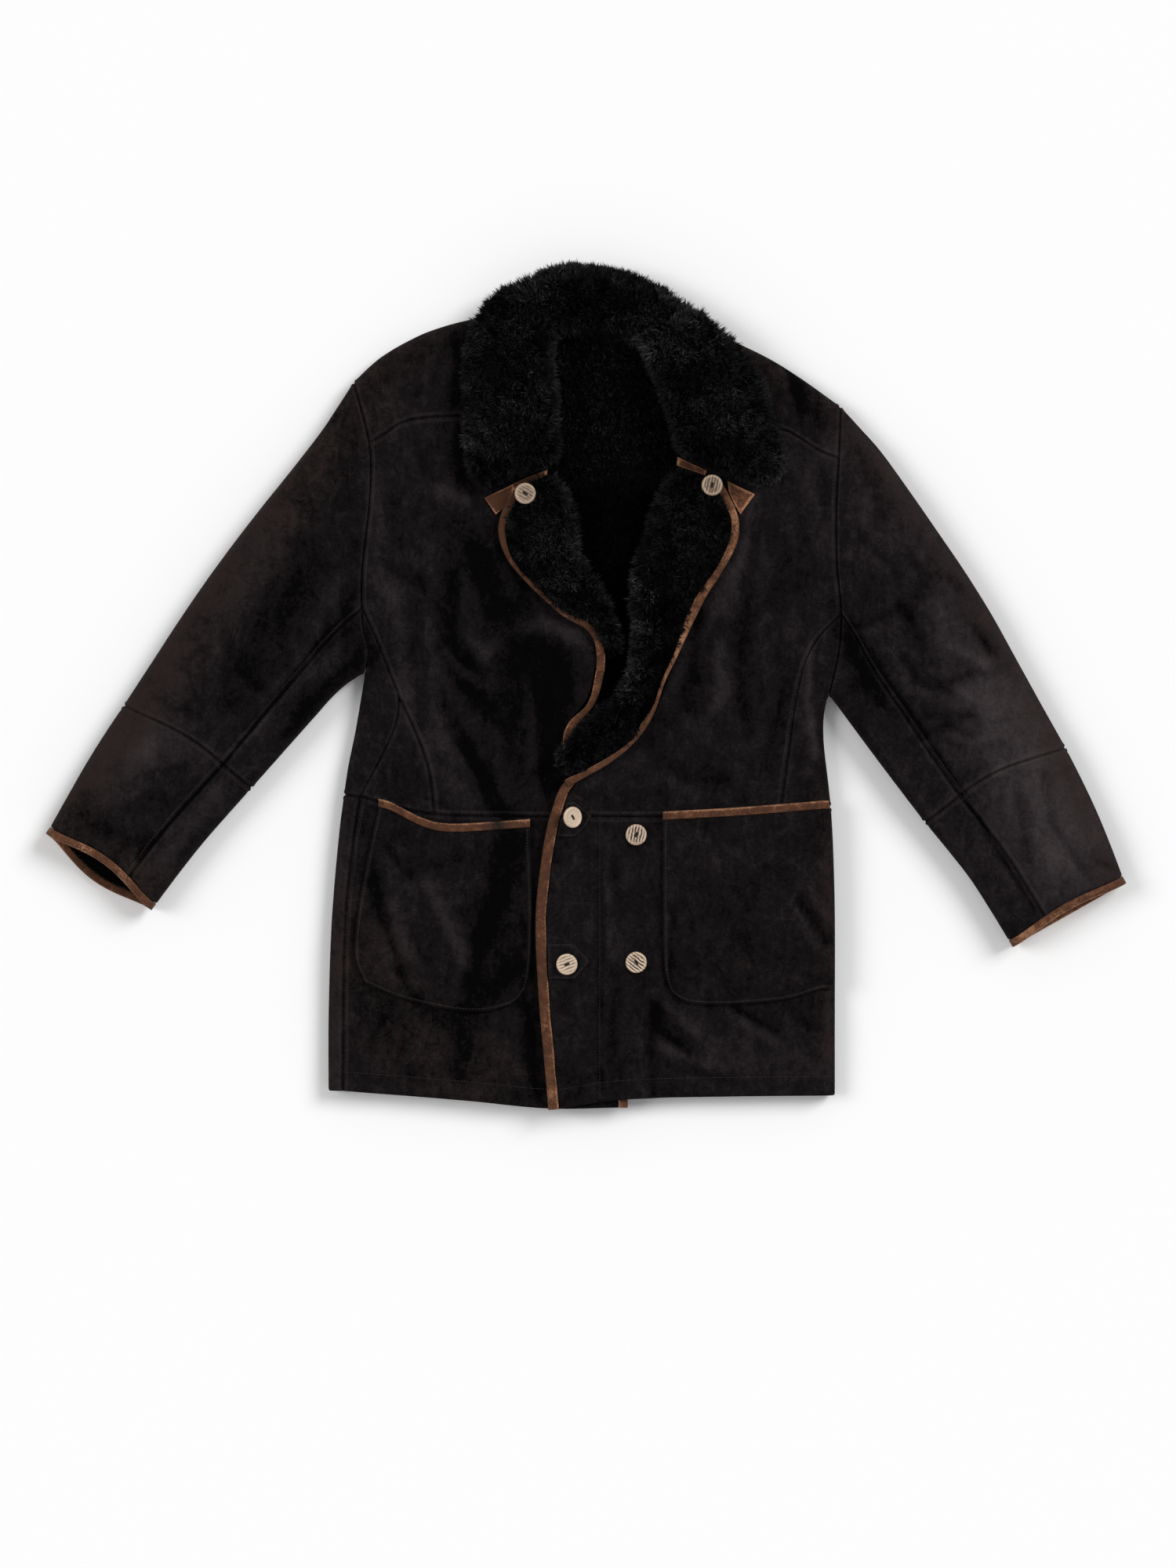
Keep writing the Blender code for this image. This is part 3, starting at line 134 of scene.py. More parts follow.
# painted shade (the collar's shadow on the front, the deep hollows) and painted highlight (lit ridges and
# bands) on the suede
paintedLightStrokes = {
    -1: [      # line, width, strength
        ([(-142, 380), (-142, 300), (-138, 224), (-118, 203)], 11, -1.1),
        ([(-24, 0), (-30, -50), (-38, -104)], 17, -1.0), ([(-44, 24), (-50, -19), (-48, -90)], 10, -1.3),
        ([(-165, 96), (-157, 34), (-136, 6), (-96, -18)], 7, -1.1),
        ([(-128, -66), (-106, -112), (-88, -138)], 8, -1.3), ([(-258, 62), (-236, 28)], 12, -1.0),
        ([(-74, -166), (-90, -214), (-116, -258)], 10, -0.9), ([(-98, -332), (-72, -302)], 7, -0.8),
        ([(-44, 30), (-36, 4)], 16, -0.9), ([(-108, 140), (-70, 20)], 40, -1.4),
        ([(-150, 100), (-152, 50)], 9, -0.6), ([(-160, -6), (-136, -50)], 10, -0.7),
        ([(-84, -11), (-70, -96)], 17, -0.5), ([(-112, -104), (-103, -134)], 12, -0.9),
        ([(-80, -160), (-100, -240), (-128, -346)], 20, -0.85),
        ([(-78, -262), (-92, -318), (-126, -350)], 10, -0.7), ([(-66, -300), (-62, -440)], 12, -0.6),
        ([(-184, -350), (-150, -366), (-128, -400)], 11, -0.5), ([(-230, -366), (-150, -412)], 40, -0.1),
        ([(-232, -176), (-226, -240)], 9, -0.6), ([(-150, 214), (-126, 200)], 14, 0.7),
        ([(-232, 220), (-224, 134), (-203, 49), (-190, -19), (-161, -87), (-148, -112)], 17, 0.75),
        ([(-204, 300), (-186, 230)], 24, 0.3), ([(-248, -6), (-256, -104)], 9, 0.6),
        ([(-266, -124), (-274, -274), (-277, -430)], 11, 1.1), ([(-212, -222), (-204, -292)], 15, 0.5),
        ([(-212, -257), (-186, -325)], 6, 0.8), ([(-163, -236), (-140, -296)], 16, 0.5),
        ([(-110, 34), (-86, 61), (-50, 67), (-14, 54)], 8, 0.3),
        ([(-297, 190), (-330, 100), (-376, 20)], 18, -0.6),
        ([(-256, 80), (-297, 40), (-390, -79), (-488, -186)], 3.6, -1.4),
        ([(-250, 110), (-271, 66), (-297, 40)], 9, -1.0), ([(-241, 36), (-280, 4), (-326, -50)], 12, -1.2),
        ([(-271, 270), (-262, 202)], 18, -0.3), ([(-543, -138), (-475, -172)], 15, -0.6),
        ([(-526, -113), (-467, -91), (-433, -83)], 5, -0.6),
        ([(-360, 176), (-430, 60), (-530, -90)], 50, 0.9),
        ([(-268, 330), (-382, 160), (-496, 0), (-580, -140)], 10, 1.5),
        ([(-300, 270), (-340, 210)], 9, 0.6), ([(-470, -50), (-500, -100), (-520, -110)], 14, 0.8),
        ([(-510, -60), (-430, -70)], 30, 1.0), ([(-271, 117), (-301, 40), (-348, -11)], 9, 0.7),
        ([(-271, 42), (-322, -6), (-382, -70)], 5, 0.8), ([(-400, -110), (-460, -190)], 16, 0.9),
        ([(-445, -108), (-444, -109)], 9, 0.5),
    ],
    1: [
        ([(150, 190), (120, 60), (70, -50)], 12, -0.35), ([(192, 262), (228, 330)], 10, -0.3),
        ([(201, 363), (213, 312), (247, 270)], 9, -0.8), ([(256, 236), (260, 200)], 7, -0.6),
        ([(226, 338), (250, 288)], 15, -0.7), ([(222, 214), (240, 160)], 9, -0.5),
        ([(190, 160), (186, 90)], 8, 0.5), ([(120, 10), (96, -40)], 12, -0.5),
        ([(218, 120), (228, 60)], 9, 0.5), ([(239, 125), (179, 83)], 17, -0.45),
        ([(163, 74), (167, -36)], 6, -0.8), ([(124, 74), (100, -11)], 11, -0.6),
        ([(222, 15), (205, -53)], 10, -0.5), ([(14, -176), (15, -440)], 4, -0.9),
        ([(70, -350), (84, -380)], 13, -0.6), ([(185, -224), (160, -310)], 34, -0.25),
        ([(203, 246), (179, 202), (166, 151), (154, 108), (111, 40), (86, -11)], 12, 1.0),
        ([(192, 338), (213, 270), (202, 236)], 7, 0.9), ([(225, 215), (250, 160)], 21, 0.55),
        ([(141, 40), (150, -2), (128, -36)], 8, 0.8), ([(243, 42), (240, -18), (247, -70)], 7, 1.5),
        ([(262, -150), (263, -420)], 8, 0.8), ([(23, -160), (22, -440)], 6, 0.4),
        ([(-18, -180), (-22, -250)], 12, 0.3), ([(110, -170), (240, -190)], 18, 0.35),
        ([(100, -384), (250, -410)], 34, 0.4), ([(216, -222), (238, -256)], 6, 0.5),
        ([(300, 260), (390, 70)], 80, 0.95), ([(450, -20), (520, -170)], 75, 2.8),
        ([(290, 290), (383, 151), (494, -2), (576, -200)], 13, 0.8),
        ([(277, 62), (298, 20), (316, -14)], 13, -1.7),
        ([(280, 70), (315, 23), (400, -104), (485, -240)], 4.5, -1.9),
        ([(306, -50), (383, -150), (456, -254)], 7, 0.6), ([(358, 110), (348, 64)], 6, -0.8),
        ([(363, 40), (390, -2)], 8, -0.9), ([(392, 6), (426, 15), (451, 23)], 5, -0.7),
        ([(383, -45), (417, -28)], 6, -0.9), ([(443, -36), (468, -32)], 5, -0.7),
        ([(350, -30), (380, -60)], 9, -0.6), ([(420, 62), (436, 40)], 6, -0.8),
        ([(383, 52), (434, 26)], 8, 0.6), ([(409, -11), (460, -2)], 7, 0.6),
        ([(426, -56), (485, -38)], 8, 0.6), ([(494, -96), (502, -147), (536, -198)], 7, -0.7),
        ([(470, -130), (476, -190)], 6, -0.5), ([(553, -189), (575, -198)], 5, -0.8),
    ],
}

waistSeam = [(-290, -116), (-250, -117), (-180, -135), (-100, -139), (0, -139),
             (90, -139), (180, -133), (250, -129), (290, -129)]

right = {
    "sign": -1,
    "word": "right",
    "shoulder": [(-254, 332), (-230, 355), (-204, 372), (-168, 389), (-116, 402), (-46, 405)],
    "armhole": [(-254, 332), (-241, 287), (-235, 253), (-236, 202), (-242, 151), (-245, 108),
                (-243, 70), (-236, 40), (-241, 18)],
    "sideFold": [(-241, 18), (-247, -19), (-253, -53), (-260, -87), (-266, -130), (-271, -172),
                 (-278, -260), (-281, -359), (-281, -437)],
    "princess": [(-244, 86), (-226, 45), (-206, -5), (-187, -46), (-172, -88), (-166, -136)],
    "yokeSeam": [(-237, 265), (-215, 279), (-195, 290), (-149, 295), (-47, 296)],
    "neckline": [(-46, 405), (-51, 375), (-50, 340), (-47, 296)],
    "backNeck": [(-46, 405), (-40, 396), (-31, 388)],
    "backYokeEnd": (-31, 388),
    "frontEdge": [(-47, 296), (-46, 240), (-34, 222), (-20, 190), (-16, 156), (8, 110), (20, 84),
                  (24, 60), (20, 38)],
    "bound": [(18, 19), (13, -4), (6, -20), (-4, -33), (-14, -46), (-17, -60), (-14, -80), (2, -139),
              (14, -172), (35, -274), (43, -400), (44, -455)],
    "binding": 9.5,
    "sleeveTop": [(-254, 332), (-295, 270), (-349, 202), (-401, 134), (-448, 66), (-492, -2),
                  (-538, -72), (-587, -158)],
    "sleeveUnder": [(-241, 18), (-269, -2), (-300, -36), (-364, -108), (-422, -174), (-473, -241)],
    "bandTop": (-505, -17),
    "bandUnder": (-364, -108),
    "sleeveSeam": (0.763, 0.716),
}
left = {
    "sign": 1,
    "word": "left",
    "shoulder": [(275, 306), (254, 321), (230, 338), (192, 361), (140, 383), (66, 398)],
    "armhole": [(275, 306), (273, 253), (270, 193), (271, 134), (276, 80), (273, 40), (262, -6)],
    "sideFold": [(262, -6), (257, -30), (257, -60), (262, -104), (266, -147), (269, -240),
                 (269, -359), (269, -442)],
    "princess": [(276, 80), (246, 48), (230, 2), (219, -66), (210, -131)],
    "yokeSeam": [(270, 249), (253, 257), (227, 273), (204, 281), (97, 292)],
    "neckline": [(66, 398), (73, 372), (85, 334), (97, 292)],
    "backNeck": [(66, 398), (58, 388), (48, 381)],
    "backYokeEnd": (48, 381),
    "frontEdge": [(97, 292), (103, 262), (98, 238), (76, 195), (60, 138), (56, 108), (57, 40),
                  (48, 8), (17, -24), (-12, -52), (-23, -76), (-23, -94)],
    "bound": [(-20, -97), (-28, -106), (-33, -116), (-37, -128), (-44, -153), (-50, -189),
              (-56, -250), (-53, -330), (-47, -400), (-42, -457)],
    "binding": 11.3,
    "sleeveTop": [(275, 306), (322, 253), (358, 202), (427, 100), (484, -2), (519, -64),
                  (555, -138), (584, -212)],
    "sleeveUnder": [(262, -6), (309, -70), (366, -145), (415, -206), (462, -281)],
    "bandTop": (519, -64),
    "bandUnder": (366, -145),
    "sleeveSeam": (0.733, 0.68),
}
sideSeam = [(-205, -8), (-207, -36), (-224, -75), (-246, -116)]
skirtSeam = [(-246, -116), (-255, -178), (-263, -271), (-265, -437)]
rightHem = [(-265, -437), (-200, -442), (-127, -448), (-42, -456), (34, -455)]
leftHem = [(-32, -457), (39, -446), (160, -443), (269, -442)]
neckSeam = [(-10, 385.5), (13, 384), (30, 383)]
body = {
    "backSeamInset": 68, "hiddenSeamInset": 22, "apexTrim": 0.06, "backYokeDepth": 75.0,
    "backSideSeamUp": 60.0, "armholeBow": 12, "armholeSteps": 24, "hindShare": 0.45, "rowsAcross": 13,
    "waistAt": 265, "backStep": 11, "least": 0.31,
    # rows along and across the sides; about how wide or long the panels without a route there are
    "aboveWaist": 8, "belowWaist": 9, "overSide": 9, "underSide": 6, "overYoke": 12, "overSkirt": 56,
    "underSkirt": 3, "sideFront": 79, "rightSkirt": 297, "leftSkirt": 312, "hiddenSide": (313, 46),
}


# Lines in the plan

def eased(points, fine=8):
    p = np.array(points, float)
    p = np.concatenate([[2 * p[0] - p[1]], p, [2 * p[-1] - p[-2]]])
    t = np.arange(fine).reshape((-1,) + (1,) * (p.ndim - 1)) / fine
    runs = []
    for a, b, c, d in zip(p[:-3], p[1:-2], p[2:-1], p[3:]):
        runs.append(0.5 * (2 * b + (c - a) * t + (2 * a - 5 * b + 4 * c - d) * t ** 2
                           + (3 * b - 3 * c + d - a) * t ** 3))
    return np.concatenate(runs + [p[-2:-1]])


class Route:
    # a line in the plan, read by the distance along it

    def __init__(self, points):
        self.points = np.array(points, float)
        steps = np.linalg.norm(np.diff(self.points, axis=0), axis=1)
        self.reach = np.concatenate([[0.0], np.cumsum(steps)])
        self.length = self.reach[-1]

    def at(self, distance):
        return np.stack([np.interp(distance, self.reach, column) for column in self.points.T], -1)

    def spaced(self, count, start=0.0, end=None):
        return self.at(np.linspace(start, self.length if end is None else end, count))

    def shared(self, shares, start=0.0, end=None):
        end = self.length if end is None else end
        return self.at(start + (end - start) * np.array(shares))

    def backwards(self):
        return Route(self.points[::-1])

    def nearest(self, point):
        fine = np.linspace(0, self.length, 3000)
        gaps = np.linalg.norm(self.at(fine) - np.array(point, float), axis=1)
        return fine[np.argmin(gaps)]


def smoothStep(x):
    x = np.clip(x, 0, 1)
    return x * x * (3 - 2 * x)


def waistY(x):
    dense = eased(waistSeam)
    return np.interp(x, dense[:, 0], dense[:, 1])


def waistLine(start, end, u):
    # along the waist seam between two corners, given by their x
    x = start + (end - start) * u
    return np.stack([x, waistY(x)], 1)


def toWaist(route):
    route.points[-1, 1] = waistY(route.points[-1, 0])
    return route


def hiddenEdgeX(y):
    dense = eased(right["bound"])[::-1]
    return np.interp(y, dense[:, 1], dense[:, 0])


def beside(points, distance):
    # the line moved to its left, kept parallel round its corners
    p = np.asarray(points, float)
    run = np.diff(p, axis=0)
    run /= np.linalg.norm(run, axis=1)[:, None]
    normals = np.stack([-run[:, 1], run[:, 0]], 1)
    before, after = np.vstack([normals[:1], normals]), np.vstack([normals, normals[-1:]])
    mitre = (before + after) / (1 + (before * after).sum(1))[:, None]
    return p + np.reshape(distance, (-1, 1)) * mitre


def coons(first, last, bottom, top, u, v):
    # grid between four lines: rows v from bottom to top, columns u from first to last
    v, u = np.array(v)[:, None, None], np.array(u)[None, :, None]
    first, last = np.array(first)[:, None], np.array(last)[:, None]
    bottom, top = np.array(bottom)[None], np.array(top)[None]
    corners = (1 - v) * ((1 - u) * first[0] + u * last[0]) + v * ((1 - u) * first[-1] + u * last[-1])
    return (1 - u) * first + u * last + (1 - v) * bottom + v * top - corners


def filled(first, last, bottom, top, u, v):
    # the same between two routes that run down
    return coons(first.shared(1 - v), last.shared(1 - v), bottom, top, u, v)


def seamShares(length, step=None):
    # shares along a length, close together at both ends
    near = np.array(coat["seamDistances"])
    near = near * min(1.0, length / (3.2 * near[-1]))
    count = max(2, int(round((length - 2 * near[-1]) / (step or coat["gridStep"]))) + 1)
    middle = np.linspace(near[-1], length - near[-1], count)[1:-1]
    return np.concatenate([near, middle, length - near[::-1]]) / length


def towardsSeam(start, length, count):
    # stops from a fold's round to a seam, close together at the seam
    near = np.array(coat["seamDistances"])
    near = near * min(1.0, (length - start) / (2.5 * near[-1]))
    middle = np.linspace(start, length - near[-1], count + 1)[1:-1]
    return np.concatenate([middle, length - near[::-1]])


# Heights of the top layer

lumpWaves = np.random.default_rng(11)
lumpTable = np.column_stack([lumpWaves.uniform(0, 2 * math.pi, 40),     # direction
                             lumpWaves.uniform(28, 105, 40),            # wave length
                             lumpWaves.uniform(0, 2 * math.pi, 40)])    # phase


def lumps(p):
    # gentle uneven swell of a heavy hide
    total = np.zeros(p.shape[:-1])
    for direction, wave, phase in lumpTable:
        along = p[..., 0] * math.cos(direction) + p[..., 1] * math.sin(direction)
        total += wave / 60 * np.sin(2 * math.pi * along / wave + phase)
    return total / 6


def squaredGap(p, line):
    # squared distance of each point from a line
    nearest = np.full(p.shape[:-1], 1e9)
    for a, b in zip(line[:-1], line[1:]):
        a, run = np.array(a, float), np.array(b, float) - a
        share = np.clip(((p - a) @ run) / (run @ run), 0, 1)
        nearest = np.minimum(nearest, ((p - a - share[..., None] * run) ** 2).sum(-1))
    return nearest


def strokes(p, table):
    # soft strokes along lines, added up
    p = np.asarray(p, float)
    total = np.zeros(p.shape[:-1])
    for line, width, strength in table:
        gap = squaredGap(p, line)
        wide, narrow = np.exp(-gap / width ** 2), np.exp(-3.5 * gap / width ** 2)
        total += strength * (0.6 * wide + 0.4 * narrow)
    return total


# how the shade attribute is painted: the key light's way in the plan (sideways, upward), how strongly rises,
# slopes and tone strokes count, and its limits
napWithPaintedLight = {"step": 3.0, "sideways": -0.75, "upward": -0.65, "rise": 9, "slope": 1.35, "tone": 0.85,
       "least": -1.1, "most": 2.2}


def shadeAt(p, side):
    # painted light and shade: lighter on ridges and on slopes that face the key light, darker in hollows,
    # plus the painted tone strokes
    rise, step = strokes(p, creases[side]), napWithPaintedLight["step"]
    slope = sum(napWithPaintedLight[way] * (strokes(p + np.array(move), creases[side]) - rise) / step
                for way, move in (("sideways", (step, 0.0)), ("upward", (0.0, step))))
    shade = rise / napWithPaintedLight["rise"] + napWithPaintedLight["slope"] * slope + napWithPaintedLight["tone"] * strokes(p, paintedLightStrokes[side])
    return np.clip(shade, napWithPaintedLight["least"], napWithPaintedLight["most"])


def relief(p, side):
    return strokes(p, creases[side]) + coat["swell"] * lumps(np.asarray(p, float))


overlap = {                 # past the hidden edge: flat shelf, then slope, on the chest and on the skirt
    "shelf": (64, 12), "slope": (76, 30), "skirtFrom": -70, "skirtBlend": 90, "top": 115, "topBlend": 120,
}


def plainHeight(p, side):
    # the left front climbs over the right one and comes down past its hidden edge
    p = np.asarray(p, float)
    across, up = p[..., 0], p[..., 1]
    if side < 0:
        return coat["laidHeight"] + 0 * up
    skirt = smoothStep((overlap["skirtFrom"] - up) / overlap["skirtBlend"])
    shelf, slope = (top + (low - top) * skirt for top, low in (overlap["shelf"], overlap["slope"]))
    sideways = 1 - smoothStep((across - hiddenEdgeX(up) - shelf) / slope)
    upward = smoothStep((overlap["top"] - up) / overlap["topBlend"])
    return coat["laidHeight"] + coat["overlapRise"] * sideways * upward


def topHeight(p, side):
    return plainHeight(p, side) + relief(p, side)


# Meshes

def newMesh(name, verts, faces, material, attributes=None, smoothAngle=50):
    mesh = bpy.data.meshes.new(name)
    mesh.from_pydata((np.asarray(verts, float) * mm).tolist(), [], [tuple(int(i) for i in f) for f in faces])
    form = bmesh.new()
    form.from_mesh(mesh)
    bmesh.ops.recalc_face_normals(form, faces=form.faces)
    form.to_mesh(mesh)
    form.free()
    for label, values in (attributes or {}).items():
        values = np.asarray(values, np.float32)
        kind = "FLOAT" if values.ndim == 1 else "FLOAT_VECTOR"
        data = mesh.attributes.new(label, kind, "POINT").data
        data.foreach_set("value" if kind == "FLOAT" else "vector", values.ravel())
    mesh.shade_smooth()
    mesh.set_sharp_from_angle(angle=math.radians(smoothAngle))
    mesh.materials.append(material)
    return placed(name, mesh)


def placed(name, data):
    piece = bpy.data.objects.new(name, data)
    bpy.context.scene.collection.objects.link(piece)
    return piece


def dressed(piece, node):
    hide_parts(node)
    made[piece.name] = piece
    return piece


def bothSides(outer, inner):
    # the points of a wall, none below the floor
    verts = np.vstack([outer.reshape(-1, 3), inner.reshape(-1, 3)])
    verts[:, 2] = np.maximum(verts[:, 2], 0.0)
    return verts


def gridFaces(rows, cols, closed=False):
    row, col = np.mgrid[0:rows if closed else rows - 1, 0:cols - 1]
    a, b = row * cols + col, row * cols + col + 1
    c, d = (row + 1) % rows * cols + col + 1, (row + 1) % rows * cols + col
    return np.stack([a, b, c, d], -1).reshape(-1, 4)


def wallFaces(rows, cols, closed=False):
    outer = gridFaces(rows, cols, closed)
    shift = rows * cols
    faces = [outer, outer[:, ::-1] + shift]
    rowRing = np.arange(rows if closed else rows - 1)
    for col in (0, cols - 1):
        a, b = rowRing * cols + col, (rowRing + 1) % rows * cols + col
        faces.append(np.stack([a, b, b + shift, a + shift], 1))
    if not closed:
        for row in (0, rows - 1):
            a = row * cols + np.arange(cols - 1)
            faces.append(np.stack([a, a + 1, a + 1 + shift, a + shift], 1))
    return np.concatenate(faces)


def roundFaces(rings, count, first, last):
    # quads between closed rings of points, and a fan from the first and the last ring to a point
    step = np.arange(count)
    after = (step + 1) % count
    faces = []
    for ring in range(rings - 1):
        a, b = ring * count + step, ring * count + after
        faces += np.stack([a, a + count, b + count, b], 1).tolist()
    end = (rings - 1) * count
    faces += [(a, b, first) for a, b in zip(step, after)]
    faces += [(end + b, end + a, last) for a, b in zip(step, after)]
    return faces


def gridNormals(grid):
    down, across = np.gradient(grid, axis=0), np.gradient(grid, axis=1)
    normal = np.cross(across, down)
    return normal / np.maximum(np.linalg.norm(normal, axis=2), 1e-9)[..., None]


def edgeDistances(grid):
    # distance of each point from the grid's first row, last row, first column and last column
    rows = np.linalg.norm(np.diff(grid, axis=0), axis=2)
    cols = np.linalg.norm(np.diff(grid, axis=1), axis=2)
    fromTop = np.vstack([np.zeros((1, grid.shape[1])), np.cumsum(rows, 0)])
    fromFirst = np.hstack([np.zeros((grid.shape[0], 1)), np.cumsum(cols, 1)])
    return {"top": fromTop, "bottom": fromTop[-1:] - fromTop,
            "first": fromFirst, "last": fromFirst[:, -1:] - fromFirst}


def seamForm(distance, stitched):
    form = -seam["dip"] * np.exp(-(distance / seam["dipWidth"]) ** 2)
    form += seam["roll"] * np.exp(-((distance - seam["rollAt"]) / seam["rollWidth"]) ** 2)
    if stitched:
        form -= seam["stitchDip"] * np.exp(-((distance - seam["stitchAt"]) / seam["stitchWidth"]) ** 2)
    return form


def drawnIn(grid, step):
    grid = grid.copy()
    for flip in (False, True):
        g = grid.transpose(1, 0, 2) if flip else grid
        moved = []
        for edge, nextIn in ((0, 1), (-1, -2)):
            inward = g[nextIn] - g[edge]
            moved.append(g[edge] + step * inward / np.maximum(np.linalg.norm(inward, axis=1), 1e-6)[:, None])
        g[0], g[-1] = moved
    return grid


def insetLine(grid, edge, distance):
    # points at a distance from one edge of a grid, along it
    g = {"top": grid, "bottom": grid[::-1], "first": grid.transpose(1, 0, 2),
         "last": grid.transpose(1, 0, 2)[::-1]}[edge]
    reach = np.vstack([np.zeros((1, g.shape[1])),
                       np.cumsum(np.linalg.norm(np.diff(g, axis=0), axis=2), 0)])
    line = []
    for col in range(g.shape[1]):
        line.append([np.interp(distance, reach[:, col], g[:, col, axis]) for axis in range(3)])
    return np.array(line)


# Hide panels

wornLines = [               # line, how wide, how strong: where the nap is rubbed brown
    (right["sleeveTop"], 60, 0.9), (left["sleeveTop"], 45, 0.7),
    (right["shoulder"], 45, 0.8), (left["shoulder"], 45, 0.8),
    ([(-275, -250), (-240, -300), (-200, -370), (-120, -420)], 60, 0.8),
    ([(-560, -150), (-470, -220)], 40, 0.7),
    ([(-150, 230), (-200, 120)], 60, 0.25),
    ([(262, -60), (262, -400)], 14, 0.7),
    ([(-275, -60), (-281, -430)], 14, 0.7),
    ([(130, -300), (240, -340)], 50, 0.4),
]


def wornAt(points):
    worn = np.zeros(len(points))
    for line, width, strength in wornLines:
        worn = np.maximum(worn, strength * np.exp(-squaredGap(points, line) / width ** 2))
    return worn


def hidePanel(name, node, outer, inner, shade=None, seams="", stitched="", restsOn=()):
    # a wall of hide: suede outside, pile inside; seams names the edges that are sewn
    distances = edgeDistances(outer)
    normals = gridNormals(outer)
    facing = np.sign((normals * (outer - inner)).sum(2).mean())
    offset = np.zeros(outer.shape[:2])
    for edge in seams.split():
        offset = offset + seamForm(distances[edge], edge in stitched.split())
    for edge in set(distances) - set(seams.split()):
        offset = offset - seam["cutDip"] * np.exp(-(distances[edge] / seam["cutWidth"]) ** 2)
    offset = np.maximum(offset, -seam["dip"])
    onFloor = smoothStep((seam["floorFrom"] - outer[..., 2]) / seam["floorBlend"])
    outer = outer + (facing * offset * (1 - seam["floorShare"] * onFloor))[..., None] * normals
    outer = drawnIn(outer, coat["seamGap"] / 2)
    inner = drawnIn(inner, coat["seamGap"] / 2)
    rows, cols = outer.shape[:2]
    verts = bothSides(outer, inner)
    pile = np.repeat([0.0, 1.0], rows * cols)
    nearSeam = np.full(outer.shape[:2], 99.0)
    for edge in seams.split():
        nearSeam = np.minimum(nearSeam, distances[edge])
    # rub: the nap lighter where it is rubbed on the ridge beside a seam, and darker on the seam line itself:
    # painted shade in its groove
    rub = np.exp(-((nearSeam - seam["rubAt"]) / seam["rubWidth"]) ** 2)
    rub = (rub - seam["grooveShade"] * np.exp(-(nearSeam / seam["grooveShadeWidth"]) ** 2)).ravel()
    shade = np.zeros(len(rub)) if shade is None else shade.ravel()
    piece = newMesh(name, verts, wallFaces(rows, cols), finishes["suede"],
                    {"pile": pile, "worn": wornAt(verts[:, :2]), "rub": np.concatenate([rub, rub]),
                     "shade": np.concatenate([shade, shade])})
    dressed(piece, node)
    panels[name] = outer
    across = np.linalg.norm(np.diff(outer, axis=1), axis=2).sum(1)
    down = np.linalg.norm(np.diff(outer, axis=0), axis=2).sum(0)
    a, b = outer[1:, 1:] - outer[:-1, :-1], outer[1:, :-1] - outer[:-1, 1:]
    area = float(np.linalg.norm(np.cross(a, b), axis=2).sum() / 2) * mm * mm
    width, length = round(float(across.max()) * mm, 3), round(float(down.max()) * mm, 3)
    area = round(min(max(area, body["least"] * width * length), width * length), 4)


def foldRow(top, under, topStops, underStops, lift, hide=coat["hide"]):
    # top seam, folded edge, seam underneath; both routes start at the fold
    probe = np.array([coat["laidHeight"] / 2])
    radius = float(lift(top.at(probe), probe)[0]) / 2
    bore = radius - hide
    topStops, underStops = np.array(topStops)[::-1], np.array(underStops)
    flatTop = np.column_stack([top.at(topStops), lift(top.at(topStops), topStops)])
    flatUnder = np.column_stack([under.at(underStops), np.zeros(len(underStops))])
    outer, inner = [flatTop], [flatTop - (0, 0, hide)]
    angles = np.radians(coat["arcAngles"])
    for path, order, sense in ((top, angles, 1), (under, angles[::-1], -1)):
        sine, cosine = np.sin(order), np.cos(order)
        outer.append(np.column_stack([path.at(radius * (1 - cosine)), radius + sense * radius * sine]))
        inner.append(np.column_stack([path.at(radius - bore * cosine), radius + sense * bore * sine]))
        if sense == 1:
            outer.append(np.array([[*top.at(0.0), radius]]))
            inner.append(np.array([[*(top.at(hide) + under.at(hide)) / 2, radius]]))
    outer.append(flatUnder)
    inner.append(flatUnder + (0, 0, hide))
    return np.vstack(outer), np.vstack(inner)


def fineRows(rows):
    # rows made smooth between, closer together at the first and the last
    grids = []
    middle = rows[len(rows) // 2][0]
    length = sum(np.linalg.norm(b[0][len(middle) // 2] - a[0][len(middle) // 2])
                 for a, b in zip(rows[:-1], rows[1:]))
    places = seamShares(length) * (len(rows) - 1)
    for layer in (0, 1):
        dense = eased(np.array([row[layer] for row in rows]), 16)
        at = places * 16
        low = np.clip(np.floor(at).astype(int), 0, len(dense) - 2)
        part = (at - low)[:, None, None]
        grids.append(dense[low] * (1 - part) + dense[low + 1] * part)
    return grids


class Armhole:
    # the seam ring of one sleeve, with the distances at which other seams meet it

    def __init__(self, side):
        steps = body["armholeSteps"]
        self.side = side
        self.top = Route(Route(eased(side["armhole"])).spaced(steps + 1))
        tip, pit = self.top.points[0], self.top.points[-1]
        self.share = np.linspace(0, 1, steps + 1)[:, None]
        bow = np.array([-side["sign"] * body["armholeBow"], 0.0])
        self.under = Route(tip + (pit - tip) * self.share + bow * np.sin(math.pi * self.share))
        self.yoke = self.top.nearest(side["yokeSeam"][0])
        self.bust = self.top.nearest(side["princess"][0])
        self.hind = body["hindShare"] * self.under.length
        self.backSide = self.under.length - body["backSideSeamUp"]
        self.radius = coat["laidHeight"] / 2


def bodyLift(side):
    return lambda points, distances: plainHeight(points, side["sign"])


def wrappedPanel(name, node, rows, side, full=coat["onTop"], **sewn):
    # a panel round a folded edge: its creases come on where it has reached the top layer
    outer, inner = fineRows(rows)
    onTop = smoothStep((outer[..., 2] / full - coat["onTopFrom"]) / coat["onTopBlend"])
    rise = onTop * relief(outer[..., :2], side["sign"])
    outer[..., 2] += rise
    inner[..., 2] += rise
    hidePanel(name, node, outer, inner, onTop * shadeAt(outer[..., :2], side["sign"]), **sewn)


def rowStops(path, count):
    return towardsSeam(coat["laidHeight"] / 2, path.length, count)


